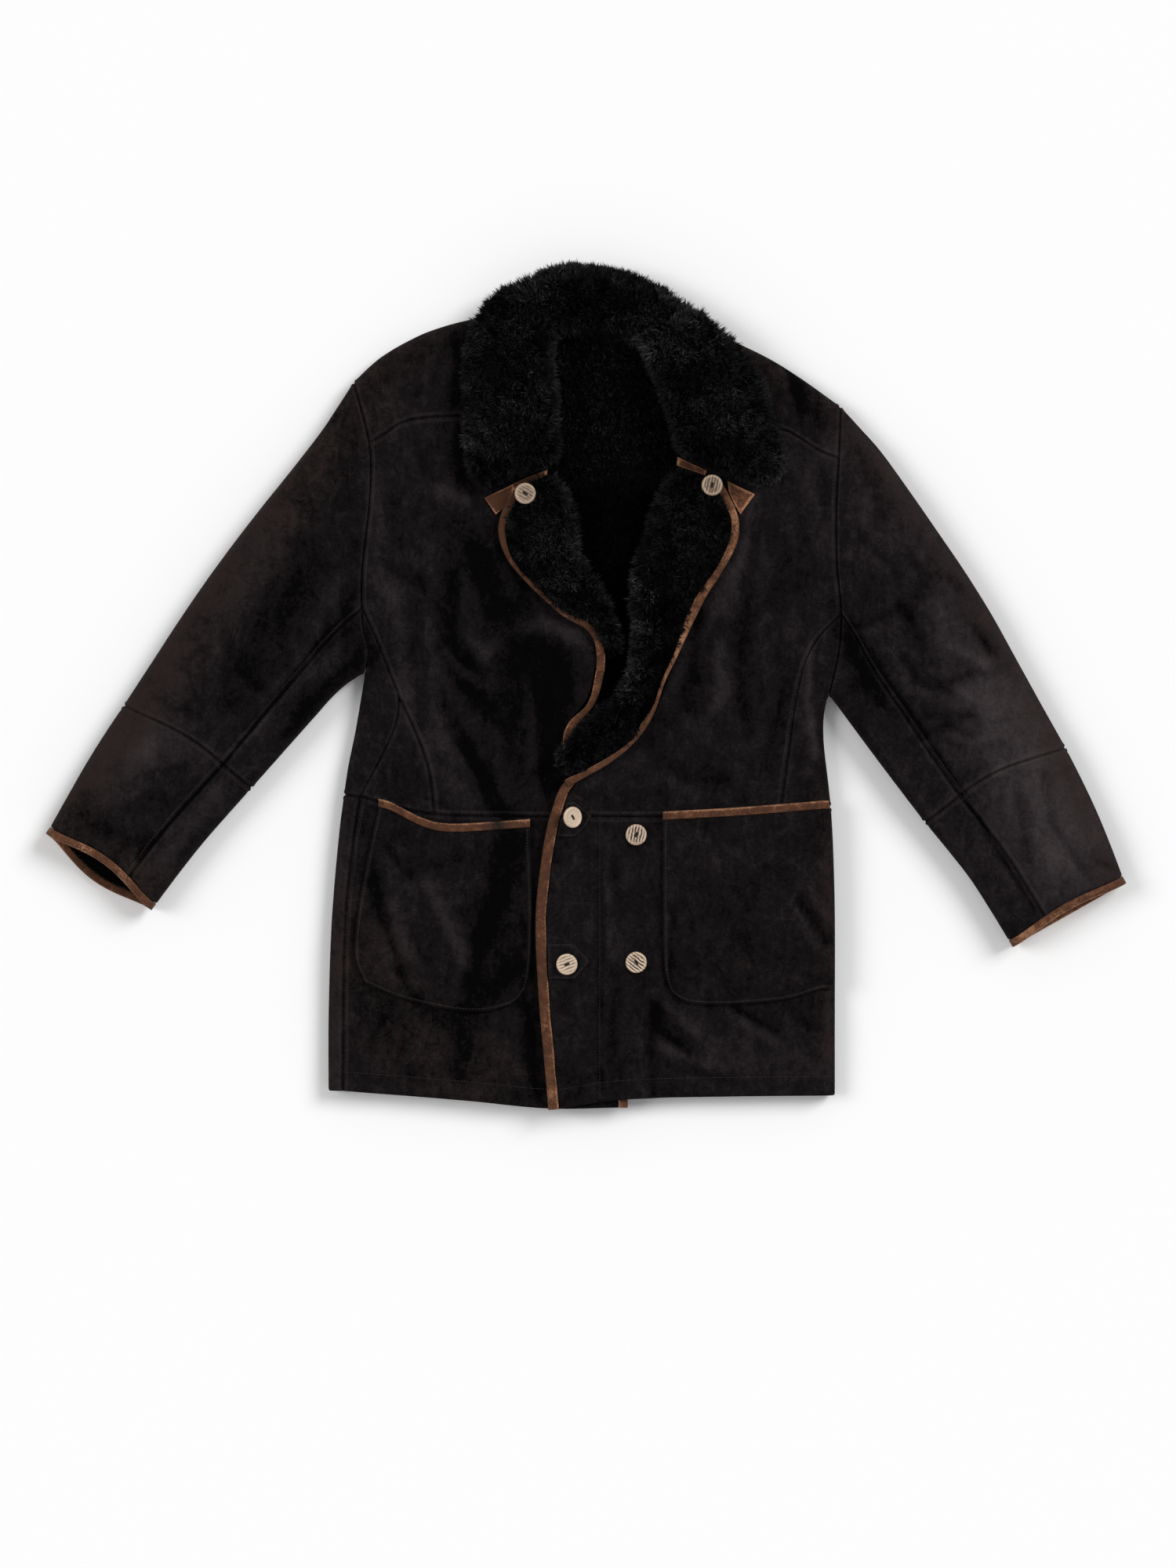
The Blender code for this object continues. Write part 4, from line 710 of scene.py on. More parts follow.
def sideRows(side, seamPoints, underPoints, foldPoints, armhole=None):
    rows = []
    for number, (edge, under, fold) in enumerate(zip(seamPoints, underPoints, foldPoints)):
        if armhole and number == 0:
            top, beneath = armhole.top.backwards(), armhole.under.backwards()
            topStops = towardsSeam(armhole.radius, armhole.top.length - armhole.bust, body["overSide"])
            underStops = towardsSeam(armhole.radius, body["backSideSeamUp"], body["underSide"])
        else:
            lead = fold + np.array([-side["sign"] * coat["foldLead"], 0.0])
            near = np.linalg.norm(edge - fold) < coat["longRow"]
            top = Route([fold, edge] if near else [fold, lead, edge])
            beneath = Route([fold, lead, under])
            topStops, underStops = rowStops(top, body["overSide"]), rowStops(beneath, body["underSide"])
        rows.append(foldRow(top, beneath, topStops, underStops, bodyLift(side)))
    return rows


def sideLines(side, armhole):
    above, below = body["aboveWaist"], body["belowWaist"]
    fold, corner = Route(eased(side["sideFold"])), side["sign"] * body["waistAt"]
    waist = fold.nearest((corner, waistY(corner)))
    foldUpper, foldLower = fold.spaced(above + 1, 0, waist), fold.spaced(below + 1, waist)
    inset = np.array([-side["sign"] * body["backSeamInset"], 0.0])
    pitSeam = armhole.under.at(armhole.backSide)
    backSeam = Route(eased([pitSeam, (pitSeam + foldUpper[-1] + inset) / 2, foldUpper[-1] + inset]))
    return foldUpper, foldLower, backSeam.spaced(above + 1), foldLower + inset


def frontEdges(side):
    # front edge of the hide inside its binding, above and below the waist
    bound = beside(eased(side["bound"]), side["sign"] * (side["binding"] + coat["seamGap"] / 2))
    whole = Route(np.vstack([eased(side["frontEdge"]), bound]))
    crossing = whole.reach[np.argmax(whole.points[:, 1] < waistY(whole.points[:, 0]))]
    upper = toWaist(Route(whole.spaced(160, 0, crossing)))
    lower = Route(np.vstack([upper.points[-1:], whole.spaced(120, crossing)[1:]]))
    return upper, lower


def flatPanel(name, node, plan, side, **sewn):
    plan = plan[::-1]
    top = topHeight(plan, side["sign"])
    hidePanel(name, node, np.dstack([plan, top]), np.dstack([plan, top - coat["hide"]]),
              shadeAt(plan, side["sign"]), **sewn)


def frontUpper(side, armhole, princess):
    outer = Route(np.vstack([armhole.top.spaced(80, armhole.yoke, armhole.bust), princess.spaced(80)[1:]]))
    edge = frontEdges(side)[0]
    start = outer.points[0]
    top = Route(eased([start] + side["yokeSeam"][1:]))
    v, u = seamShares(outer.length), seamShares(top.length)
    bottom = waistLine(outer.points[-1, 0], edge.points[-1, 0], u)
    plan = filled(outer, edge, bottom, top.shared(u), u, v)
    flatPanel(f"{side['word']}FrontUpperHide", f"{side['word']}_front_upper", plan, side,
              seams="top bottom first", stitched="top first bottom", restsOn=["back_upper"])


def yoke(side, armhole):
    count = body["rowsAcross"]
    shoulder = Route(eased(side["shoulder"])).spaced(count)
    front = Route(eased([armhole.top.at(armhole.yoke)] + side["yokeSeam"][1:])).spaced(count)
    corners = np.arange(0, count, 3)
    behind = np.stack([np.interp(np.arange(count), corners, column)
                       for column in backYokeLine(side, armhole).T], 1)
    rows = []
    for number in range(count):
        if number == 0:
            top, under = armhole.top, armhole.under
            topStops = towardsSeam(armhole.radius, armhole.yoke, body["overYoke"])
            underStops = towardsSeam(armhole.radius, body["backYokeDepth"], body["underSide"])
        else:
            if number == count - 1:
                top, under = Route(eased(side["neckline"])), Route(eased(side["backNeck"]))
            else:
                top = Route([shoulder[number], front[number]])
                under = Route([shoulder[number], behind[number]])
            topStops, underStops = rowStops(top, body["overYoke"]), rowStops(under, body["underSide"])
        rows.append(foldRow(top, under, topStops, underStops, bodyLift(side)))
    wrappedPanel(f"{side['word']}YokeHide", f"{side['word']}_yoke", rows, side,
                 seams="top first last", restsOn=["back_upper"])


def backYokeLine(side, armhole):
    count = (body["rowsAcross"] + 2) // 3
    start, end = armhole.under.at(body["backYokeDepth"]), np.array(side["backYokeEnd"], float)
    shoulder = Route(eased(side["shoulder"])).spaced(count)
    share = np.linspace(0, 1, count)[:, None]
    chord = shoulder[0] + (shoulder[-1] - shoulder[0]) * share
    return start + (end - start) * share + 0.6 * (shoulder - chord)


def backPanels(armholes, lines):
    seams = {}
    for sign, armhole in armholes.items():
        upper = armhole.under.spaced(60, body["backYokeDepth"], armhole.backSide)
        seams[sign] = Route(np.vstack([upper, eased(lines[sign][2])[1:]]))
    top = Route(np.vstack([backYokeLine(right, armholes[-1]), neckSeam,
                           backYokeLine(left, armholes[1])[::-1]]))
    v, u = seamShares(seams[-1].length, body["backStep"]), seamShares(top.length, body["backStep"])
    ends = [seams[sign].points[-1] for sign in (-1, 1)]
    bottom = ends[0] + (ends[1] - ends[0]) * u[:, None]
    plan = filled(seams[-1], seams[1], bottom, top.shared(u), u, v)
    floorPanel("backUpperHide", "back_upper", plan, "top bottom first last")
    lower = [Route(lines[sign][3]) for sign in (-1, 1)]
    v = seamShares(lower[0].length, body["backStep"])
    hem = lower[0].points[-1] + (lower[1].points[-1] - lower[0].points[-1]) * u[:, None]
    floorPanel("backLowerHide", "back_lower", filled(*lower, hem, bottom, u, v), "top first last")


def floorPanel(name, node, plan, seams):
    plan = plan[::-1]
    flat = np.zeros(plan.shape[:2])
    hidePanel(name, node, np.dstack([plan, flat]), np.dstack([plan, flat + coat["hide"]]), seams=seams)


def rightPanels(armhole, lines):
    foldUpper, foldLower, seamUpper, seamLower = lines
    princess = toWaist(Route(eased(right["princess"])))
    apex = princess.nearest(sideSeam[0])
    upperCount, lowerCount = 4, len(foldUpper) - 5
    side = toWaist(Route(eased([princess.at(apex)] + sideSeam[1:])))
    outerSeam = np.vstack([princess.spaced(upperCount + 1, 0, apex), side.spaced(lowerCount + 1)[1:]])
    wrappedPanel("rightSideUpperHide", "right_side_upper",
                 sideRows(right, outerSeam, seamUpper, foldUpper, armhole), right,
                 seams="top bottom first last", restsOn=["back_upper"])
    inside = Route(princess.spaced(60, apex))
    v, u = seamShares(side.length), seamShares(body["sideFront"])
    bottom = waistLine(side.points[-1, 0], inside.points[-1, 0], u)
    shares = body["apexTrim"] + (1 - body["apexTrim"]) * (1 - v)
    first, last = side.shared(shares), inside.shared(shares)
    top = first[-1] + (last[-1] - first[-1]) * u[:, None]
    flatPanel("rightSideFrontHide", "right_side_front", coons(first, last, bottom, top, u, v),
              right, seams="bottom first last", restsOn=["back_upper"])
    frontUpper(right, armhole, princess)
    skirt = Route(eased([side.points[-1]] + skirtSeam[1:]))
    rows = sideRows(right, skirt.spaced(len(foldLower)), seamLower, foldLower)
    wrappedPanel("rightSideLowerHide", "right_side_lower", rows, right, seams="top first last",
                 restsOn=["back_lower"])
    edge = frontEdges(right)[1]
    v, u = seamShares(skirt.length), seamShares(body["rightSkirt"])
    waist = waistLine(skirt.points[0, 0], edge.points[0, 0], u)
    hem = Route(eased([skirt.points[-1]] + rightHem[1:-1] + [edge.points[-1]])).shared(u)
    flatPanel("rightFrontLowerHide", "right_front_lower", filled(skirt, edge, hem, waist, u, v), right,
              seams="top first", stitched="first", restsOn=["back_lower"])


def leftPanels(armhole, lines):
    foldUpper, foldLower, seamUpper, seamLower = lines
    princess = toWaist(Route(eased(left["princess"])))
    rows = sideRows(left, princess.spaced(len(foldUpper)), seamUpper, foldUpper, armhole)
    wrappedPanel("leftSideUpperHide", "left_side_upper", rows, left, seams="top bottom first last",
                 restsOn=["back_upper"])
    frontUpper(left, armhole, princess)
    edge = frontEdges(left)[1]
    u = seamShares(body["leftSkirt"])
    waist = waistLine(edge.points[0, 0], foldLower[0, 0], u)
    waist[-1] = foldLower[0]
    hem = Route(eased([edge.points[-1]] + leftHem[1:-1] + [foldLower[-1]])).shared(u)
    v = np.linspace(0, 1, len(foldLower))
    plan = filled(edge, Route(foldLower), hem, waist, u, v)[::-1, ::-1]
    rows = []
    for start, line in zip(foldLower, plan):
        top, under = Route(line), Route([start, start + (-body["hiddenSeamInset"], 0)])
        rows.append(foldRow(top, under, rowStops(top, body["overSkirt"]),
                            rowStops(under, body["underSkirt"]), bodyLift(left)))
    wrappedPanel("leftFrontLowerHide", "left_front_lower", rows, left, seams="top last",
                 restsOn=["back_lower", "right_front_lower"])
    hidden = foldLower + (-body["hiddenSeamInset"], 0)
    v, u = (seamShares(length, body["backStep"]) for length in body["hiddenSide"])
    ends = [seamLower[end] + (hidden[end] - seamLower[end]) * u[:, None] for end in (-1, 0)]
    plan = filled(Route(seamLower), Route(hidden), *ends, u, v)
    floorPanel("leftSideLowerHide", "left_side_lower", plan, "top first last")


# Sleeves

sleeve = {
    # part, share along it, height, bow of the section right and left, crown
    "sections": [
        ("arm", 0.00, 24.0, 0, 0, 0), ("arm", 0.07, 26.5, 0, 0, 1), ("arm", 0.15, 30.0, -1, -1, 2),
        ("arm", 0.27, 33.0, -2, -3, 4), ("arm", 0.39, 34.0, -4, -5, 4), ("arm", 0.51, 34.0, -5, -7, 4),
        ("arm", 0.63, 34.0, -6, -9, 3), ("arm", 0.75, 33.5, -8, -10, 3), ("arm", 0.88, 33.0, -9, -11, 3),
        ("arm", 1.00, 32.5, -9, -12, 3), ("cuff", 0.25, 32.0, -9, -11, 3), ("cuff", 0.50, 32.0, -10, -9, 3),
        ("cuff", 0.75, 32.5, -10, -7, 3), ("cuff", 1.00, 33.0, -11, -6, 3),
    ],
    "mouthReach": 12, "onTop": 30.0, "rows": {"upper": (32, 14), "under": (11, 14)},
    # bound rim of the cuff: how far beyond the wall's end, how far proud of it
    "rim": [(0.6, 0.0), (1.4, 0.7), (3.0, 1.0), (5.5, 1.0), (7.4, 0.7), (8.6, -0.6), (9.0, -2.4)],
}
binding = {"width": 9.0, "proud": 1.0, "lapel": 10.5, "spacing": 3.2,
           "waver": (0.4, 9.0), "swell": (0.22, 6.1), "ripple": (0.2, 5.3)}      # how much, wave length
bindingWear = [             # line, width, strength: where the brown leather is rubbed pale, or kept dark
    ([(158, 200), (163, 160), (156, 140)], 9, 0.7), ([(132, 108), (120, 84)], 8, 0.5),
    ([(106, 66), (84, -4)], 9, 1.3), ([(-578, -160), (-540, -176)], 9, 0.5),
    ([(-516, -190), (-492, -206)], 7, 0.4), ([(470, -266), (556, -240)], 12, 0.8),
    ([(-42, -420), (-40, -455)], 9, 0.6), ([(-106, 206), (-92, 200)], 16, -1.6),
    ([(-94, 176), (-88, 140)], 10, -0.5), ([(-40, -150), (-54, -320)], 12, -0.2),
]


class Sleeve:
    # the folded tube of one arm

    def __init__(self, side, armhole):
        self.side, self.armhole = side, armhole
        self.topEdge, self.underEdge = Route(eased(side["sleeveTop"])), Route(eased(side["sleeveUnder"]))
        self.band = (self.topEdge.nearest(side["bandTop"]), self.underEdge.nearest(side["bandUnder"]))
        self.end = (self.topEdge.length - binding["width"], self.underEdge.length - binding["width"])
        chord = armhole.top.points[0] + (armhole.top.points[-1] - armhole.top.points[0]) * armhole.share
        self.curves = armhole.top.points - chord, armhole.under.points - chord

    def section(self, spec, beyond=0.0):
        part, along, _, bowRight, bowLeft, _ = spec
        starts, ends = ((0, 0), self.band) if part == "arm" else (self.band, self.end)
        tip = self.topEdge.at(starts[0] + (ends[0] - starts[0]) * along)
        pit = self.underEdge.at(starts[1] + (ends[1] - starts[1]) * along)
        chord = pit - tip
        onward = np.array([chord[1], -chord[0]]) / np.linalg.norm(chord)
        onward = onward * np.sign(onward[0] * self.side["sign"])
        tip, pit = tip + onward * beyond, pit + onward * beyond
        fade = max(0.0, 1 - along / 0.3) if part == "arm" else 0.0
        bow = bowRight if self.side["sign"] < 0 else bowLeft
        share = self.armhole.share
        arch = np.sin(math.pi * share) ** 1.5
        mouth = sleeve["mouthReach"] * along ** 2 if part == "cuff" and self.side["sign"] < 0 else 0
        line = tip + chord * share
        return (Route(line + fade * self.curves[0] + onward * bow * arch),
                Route(line + fade * self.curves[1] + onward * mouth * arch))

    def row(self, spec, part, beyond=0.0, proud=0.0):
        hole, (top, under) = self.armhole, self.section(spec, beyond)
        topLength = top.length
        first, (band, cuff) = hole.bust / hole.top.length, self.side["sleeveSeam"]
        share = first + (band - first) * spec[1] if spec[0] == "arm" else band + (cuff - band) * spec[1]
        hind = hole.hind / hole.under.length
        if part == "under":
            top, under, share, hind = top.backwards(), under.backwards(), 1 - share, 1 - hind

        def lift(points, distances):
            return spec[2] + proud + spec[5] * np.sin(math.pi * distances / topLength)

        radius = float(lift(None, coat["laidHeight"] / 2)) / 2
        topCount, underCount = sleeve["rows"][part]
        topStops = towardsSeam(radius, share * top.length, topCount)
        underStops = towardsSeam(radius, hind * under.length, underCount)
        return foldRow(top, under, topStops, underStops, lift, coat["hide"] + proud)

    def build(self):
        word = self.side["word"]
        arm = [spec for spec in sleeve["sections"] if spec[0] == "arm"]
        cuff = [arm[-1]] + [spec for spec in sleeve["sections"] if spec[0] == "cuff"]
        for part, seamed in (("upper", "first"), ("under", "")):
            title = part.capitalize()
            wrappedPanel(f"{word}{title}SleeveHide", f"{word}_{part}_sleeve",
                         [self.row(spec, part) for spec in arm], self.side, sleeve["onTop"],
                         seams="top bottom first last", stitched=seamed)
            wrappedPanel(f"{word}{title}CuffHide", f"{word}_{part}_cuff",
                         [self.row(spec, part) for spec in cuff], self.side, sleeve["onTop"],
                         seams="top first last", stitched="top " + seamed)
        rims = []
        for beyond, proud in sleeve["rim"]:
            over, below = (self.row(cuff[-1], part, beyond, proud) for part in ("upper", "under"))
            rims.append([np.vstack([over[layer], below[layer][::-1][1:-1]]) for layer in (0, 1)])
        outer, inner = np.array(rims).transpose(1, 2, 0, 3)
        bindingPiece(f"{word}CuffBinding", f"{word}_cuff_binding", outer, inner, closed=True)


def bindingPiece(name, node, outer, inner, closed=False):
    rows, cols = outer.shape[:2]
    verts = bothSides(outer, inner)
    across = np.tile(np.linspace(0, 1, cols), rows)
    steps = np.linalg.norm(np.diff(outer, axis=0), axis=2)
    along = np.vstack([np.zeros((1, cols)), np.cumsum(steps, 0)]).ravel() * mm
    piece = newMesh(name, verts, wallFaces(rows, cols, closed), finishes["binding"],
                    {"across": np.tile(across, 2), "along": np.tile(along, 2),
                     "rub": strokes(verts[:, :2], bindingWear)})
    dressed(piece, node)


# Node trees, written as sums of their sockets

class Field:
    # one output socket, for shader and geometry maths as plain expressions

    def __init__(self, tree, socket):
        self.tree, self.socket = tree, socket

    def maths(self, operation, first, second):
        return self.tree.add("ShaderNodeMath", {"operation": operation}, {0: first, 1: second})

    def __add__(self, other):
        return self.maths("ADD", self, other)

    def __sub__(self, other):
        return self.maths("SUBTRACT", self, other)

    def __rsub__(self, other):
        return self.maths("SUBTRACT", other, self)

    def __mul__(self, other):
        return self.maths("MULTIPLY", self, other)

    __radd__, __rmul__ = __add__, __mul__

    def other(self, name):
        return Field(self.tree, self.socket.node.outputs[name])


class Tree:
    # adds nodes: settings first, then values or links

    def __init__(self, nodeTree):
        self.nodeTree = nodeTree

    def add(self, kind, settings=None, sockets=None, output=0):
        node = self.nodeTree.nodes.new(kind)
        for key, value in (settings or {}).items():
            if key == "stops":
                for place, (position, colour) in enumerate(value):
                    element = (node.color_ramp.elements[place] if place < 2
                               else node.color_ramp.elements.new(position))
                    element.position, element.color = position, (*colour, 1)
            else:
                setattr(node, key, value)
        for key, value in (sockets or {}).items():
            if isinstance(value, Field):
                self.nodeTree.links.new(value.socket, node.inputs[key])
            else:
                node.inputs[key].default_value = value
        return Field(self, node.outputs[output])

    def vector(self, operation, first, second=None, scale=None):
        sockets = {0: first}
        if second is not None:
            sockets[1] = second
        if scale is not None:
            sockets["Scale"] = scale
        return self.add("ShaderNodeVectorMath", {"operation": operation}, sockets)

    def xyz(self, x=0.0, y=0.0, z=0.0):
        return self.add("ShaderNodeCombineXYZ", None, {0: x, 1: y, 2: z})

    def parts(self, vector):
        return self.add("ShaderNodeSeparateXYZ", None, {0: vector})

    def chance(self, low, high, seed):
        return self.add("FunctionNodeRandomValue", {"data_type": "FLOAT"},
                        {2: low, 3: high, "Seed": seed}, 1)

    def noise(self, place, size, detail=4, rough=0.55, distortion=0.0):
        # size of the features in metres
        return self.add("ShaderNodeTexNoise", None,
                        {"Vector": place, "Scale": 1 / size, "Detail": detail, "Roughness": rough,
                         "Distortion": distortion})

    def cells(self, place, size, output="Distance"):
        return self.add("ShaderNodeTexVoronoi", None, {"Vector": place, "Scale": 1 / size}, output)

    def ramp(self, value, low, high, start=0.0, end=1.0):
        return self.add("ShaderNodeMapRange", {"interpolation_type": "SMOOTHSTEP"},
                        {"Value": value, "From Min": low, "From Max": high, "To Min": start,
                         "To Max": end})


class Finish(Tree):
    # a material on the Principled shader; what is the same all over is set on its own sockets

    def __init__(self, name, fixed):
        self.material = bpy.data.materials.new(name)
        self.material.use_nodes = True
        super().__init__(self.material.node_tree)
        self.shader = self.nodeTree.nodes["Principled BSDF"]
        for socket, value in fixed.items():
            self.shader.inputs[socket].default_value = value
        self.place = self.add("ShaderNodeTexCoord", output="Object")

    def attribute(self, name):
        return self.add("ShaderNodeAttribute", {"attribute_name": name}, output="Fac")

    def mix(self, factor, first, second):
        return self.add("ShaderNodeMix", {"data_type": "RGBA"},
                        {0: factor, 6: (*first, 1) if isinstance(first, tuple) else first,
                         7: (*second, 1) if isinstance(second, tuple) else second}, 2)

    def bump(self, height, distance, strength=1.0, under=None):
        sockets = {"Height": height, "Distance": distance, "Strength": strength}
        if under is not None:
            sockets["Normal"] = under
        return self.add("ShaderNodeBump", None, sockets)

    def finish(self, **sockets):
        for name, value in sockets.items():
            self.nodeTree.links.new(value.socket, self.shader.inputs[name.replace("_", " ")])
        return self.material


buttonShape = {
    "radius": 11.5, "thick": 4.2, "segments": 48, "ridgePitch": 3.2, "ridgeDepth": 0.14,
    "slotHalf": 1.9, "slotWidth": 1.1, "slotDepth": 1.5, "threadSunk": 0.55, "face": 0.80,
    # share of the radius, share of the thickness, from the face over the rim to the back
    "profile": [(0.62, 0.80), (0.70, 0.86), (0.78, 0.97), (0.86, 1.0), (0.93, 0.95), (0.98, 0.78),
                (1.0, 0.55), (0.97, 0.2), (0.88, 0.0)],
}


def suedeFinish():
    look = {"deep": (0.0009, 0.0008, 0.0009), "mid": (0.0061, 0.0049, 0.0053),
            "light": (0.0185, 0.0150, 0.0160), "pale": (0.044, 0.036, 0.0365),
            "rubbed": (0.0205, 0.0135, 0.0118), "speck": (0.09, 0.08, 0.07),
            "pile": (0.0018, 0.0017, 0.0018)}
    s = Finish("darkSuede", {"Roughness": 0.92, "Specular IOR Level": 0.03, "Sheen Weight": 0.05,
                             "Sheen Roughness": 0.45, "Sheen Tint": (0.5, 0.42, 0.4, 1)})
    clouds = s.noise(s.place, 0.075, 4, 0.55, 0.3)
    patches = s.noise(s.place, 0.014, 4, 0.6, 0.5)
    brushed = s.noise(s.vector("MULTIPLY", s.place, (1.0, 0.45, 1.0)), 0.012, 3, 0.6, 0.8)
    grain = s.noise(s.place, 0.0012, 3, 0.6)
    rub = s.attribute("rub")
    fleck = s.noise(s.place, 0.0042, 3, 0.6, 0.4)
    # wrinkles: grooves in the bump, and painted shade darkening the colour along them
    wrinkled = s.noise(s.place, 0.026, 2, 0.5, 0.9) - 0.5
    wrinkleAndShade = s.ramp(wrinkled * wrinkled, 0.0011, 0.0) * s.ramp(patches, 0.4, 0.62)
    # napWithPaintedLight: painted light and shade from the shade attribute, the nap's mottle and grain, the
    # seam rub with its painted groove shade, and painted shade in the wrinkles; the rubbed brown shows most
    # where this is light
    napWithPaintedLight = (0.5 + s.attribute("shade") * 0.46 + (clouds - 0.5) * 0.6 + (patches - 0.5) * 0.85
           + (brushed - 0.5) * 0.85 + (fleck - 0.5) * 0.75 + (grain - 0.5) * 0.9 + rub * 0.26
           - wrinkleAndShade * 0.16)
    worn = s.ramp(s.attribute("worn") * (patches * 0.5 + clouds * 0.9), 0.12, 0.75)
    body = s.mix(s.ramp(napWithPaintedLight, 0.0, 0.5), look["deep"], look["mid"])
    body = s.mix(s.ramp(napWithPaintedLight, 0.42, 1.1), body, look["light"])
    body = s.mix(s.ramp(napWithPaintedLight, 0.95, 1.9), body, look["pale"])
    body = s.mix(worn * s.ramp(napWithPaintedLight, 0.1, 1.0, 0.0, 0.85), body, look["rubbed"])
    dust = s.cells(s.place, 0.0065)
    chosen = s.parts(s.cells(s.place, 0.0065, "Color"))
    speck = s.ramp(dust, 0.075, 0.045) * s.ramp(chosen, 0.82, 0.84)
    body = s.mix(speck * 0.5, body, look["speck"])
    curls = s.cells(s.place, 0.0035)
    pile = s.ramp(s.attribute("pile"), 0.3, 0.5)
    body = s.mix(pile, body, s.mix(s.ramp(curls, 0.1, 0.8), look["pile"], look["deep"]))
    bumps = s.bump(patches * 0.6 + brushed * 0.3 + clouds * 0.3 - wrinkleAndShade * 0.12, 0.0045, 0.8)
    bumps = s.bump(fleck * 0.7 + grain * 0.3, 0.0007, 0.7, bumps)
    bumps = s.bump(curls * pile, 0.003, 0.9, bumps)
    return s.finish(Base_Color=body, Roughness=0.96 - rub * 0.08 - worn * 0.1, Normal=bumps)


def furFinish():
    look = {"root": (0.0007, 0.0007, 0.0008), "mid": (0.0104, 0.0104, 0.0110),
            "tip": (0.0330, 0.0328, 0.0338), "pale": (0.140, 0.137, 0.138),
            "deep": (0.0026, 0.0026, 0.0029)}
    s = Finish("blackFur", {"Roughness": 0.62, "Specular IOR Level": 0.03})
    tip, lock, strand, glint = (s.attribute(name) for name in ("tip", "lock", "strand", "glint"))
    height = s.parts(s.place).other("Z")
    drift = s.noise(s.place, 0.022, 3, 0.6)
    lit = s.ramp(drift * 1.1 + glint * 0.5, 0.38, 1.15)
    curl = s.ramp(lock * 0.75 + s.noise(s.place, 0.0045, 2, 0.6) * 0.5, 0.3, 1.0)
    # darker towards the roots and lighter at the tips: painted shade deep in the pile, painted highlight on
    # the tips where lit is high; each lock and strand keeps its own tone
    body = s.mix(s.ramp(tip, 0.15, 0.75) * (0.2 + curl * 0.8) * (0.5 + strand * 0.5), look["root"],
                 look["mid"])
    body = s.mix(s.ramp(tip, 0.35, 0.95) * curl * (0.12 + lit * 0.88), body, look["tip"])
    body = s.mix(s.ramp(tip, 0.4, 1.0) * s.ramp(strand, 0.45, 1.0) * curl * lit, body, look["pale"])
    # darker low down near the hide: painted shade
    body = s.mix(s.ramp(height, 0.008, 0.034, 0.7, 0.0), body, look["deep"])
    # below zero, glint darkens to the root colour: painted shade
    body = s.mix(s.ramp(glint, 0.0, -1.2) * 0.85, body, look["root"])
    return s.finish(Base_Color=body, Roughness=0.7 - strand * 0.15)


def peltFinish():
    s = Finish("blackPelt", {"Roughness": 0.9, "Specular IOR Level": 0.04})
    curls = s.cells(s.place, 0.004)
    # darker between the curls, where the bump sinks: painted shade in the gaps
    body = s.mix(s.ramp(curls, 0.1, 0.9), (0.0018, 0.0018, 0.0019), (0.0006, 0.0006, 0.0007))
    return s.finish(Base_Color=body, Normal=s.bump(1 - curls, 0.003, 0.9))


def bindingFinish():
    look = {"dark": (0.056, 0.022, 0.011), "brown": (0.130, 0.052, 0.024),
            "worn": (0.37, 0.178, 0.098), "stain": (0.012, 0.008, 0.006)}
    s = Finish("brownBinding", {"Roughness": 0.85, "Specular IOR Level": 0.15, "Sheen Weight": 0.05,
                                "Sheen Roughness": 0.5})
    blot = s.noise(s.place, 0.009, 4, 0.62, 0.5)
    grain = s.noise(s.place, 0.0018, 4, 0.7)
    along = s.xyz(s.attribute("along"), s.attribute("across") * 0.003)
    pinch = s.noise(along, 0.0022, 2, 0.6, 0.3) * s.ramp(s.noise(s.place, 0.03, 2, 0.5), 0.42, 0.6)
    rim = s.ramp(s.attribute("across"), 0.62, 0.95)
    rubbed = s.attribute("rub")
    body = s.mix(s.ramp(blot + rubbed * 0.15, 0.34, 0.74), look["dark"], look["brown"])
    worn = rim * 0.3 + grain * 0.7 + blot * 0.35 + pinch * 0.35 + rubbed * 0.3
    body = s.mix(s.ramp(worn, 0.66, 1.1) * 0.9, body, look["worn"])
    body = s.mix(s.ramp(grain, 0.56, 0.34) * 0.6 + s.ramp(rubbed, -0.1, -1.0) * 0.7, body, look["dark"])
    body = s.mix(s.attribute("stain") * s.ramp(blot, 0.2, 0.5), body, look["stain"])
    bumps = s.bump(blot + pinch * 0.8, 0.0011, 0.6)
    bumps = s.bump(grain, 0.0005, 0.7, bumps)
    return s.finish(Base_Color=body, Roughness=0.92 - grain * 0.15, Normal=bumps)


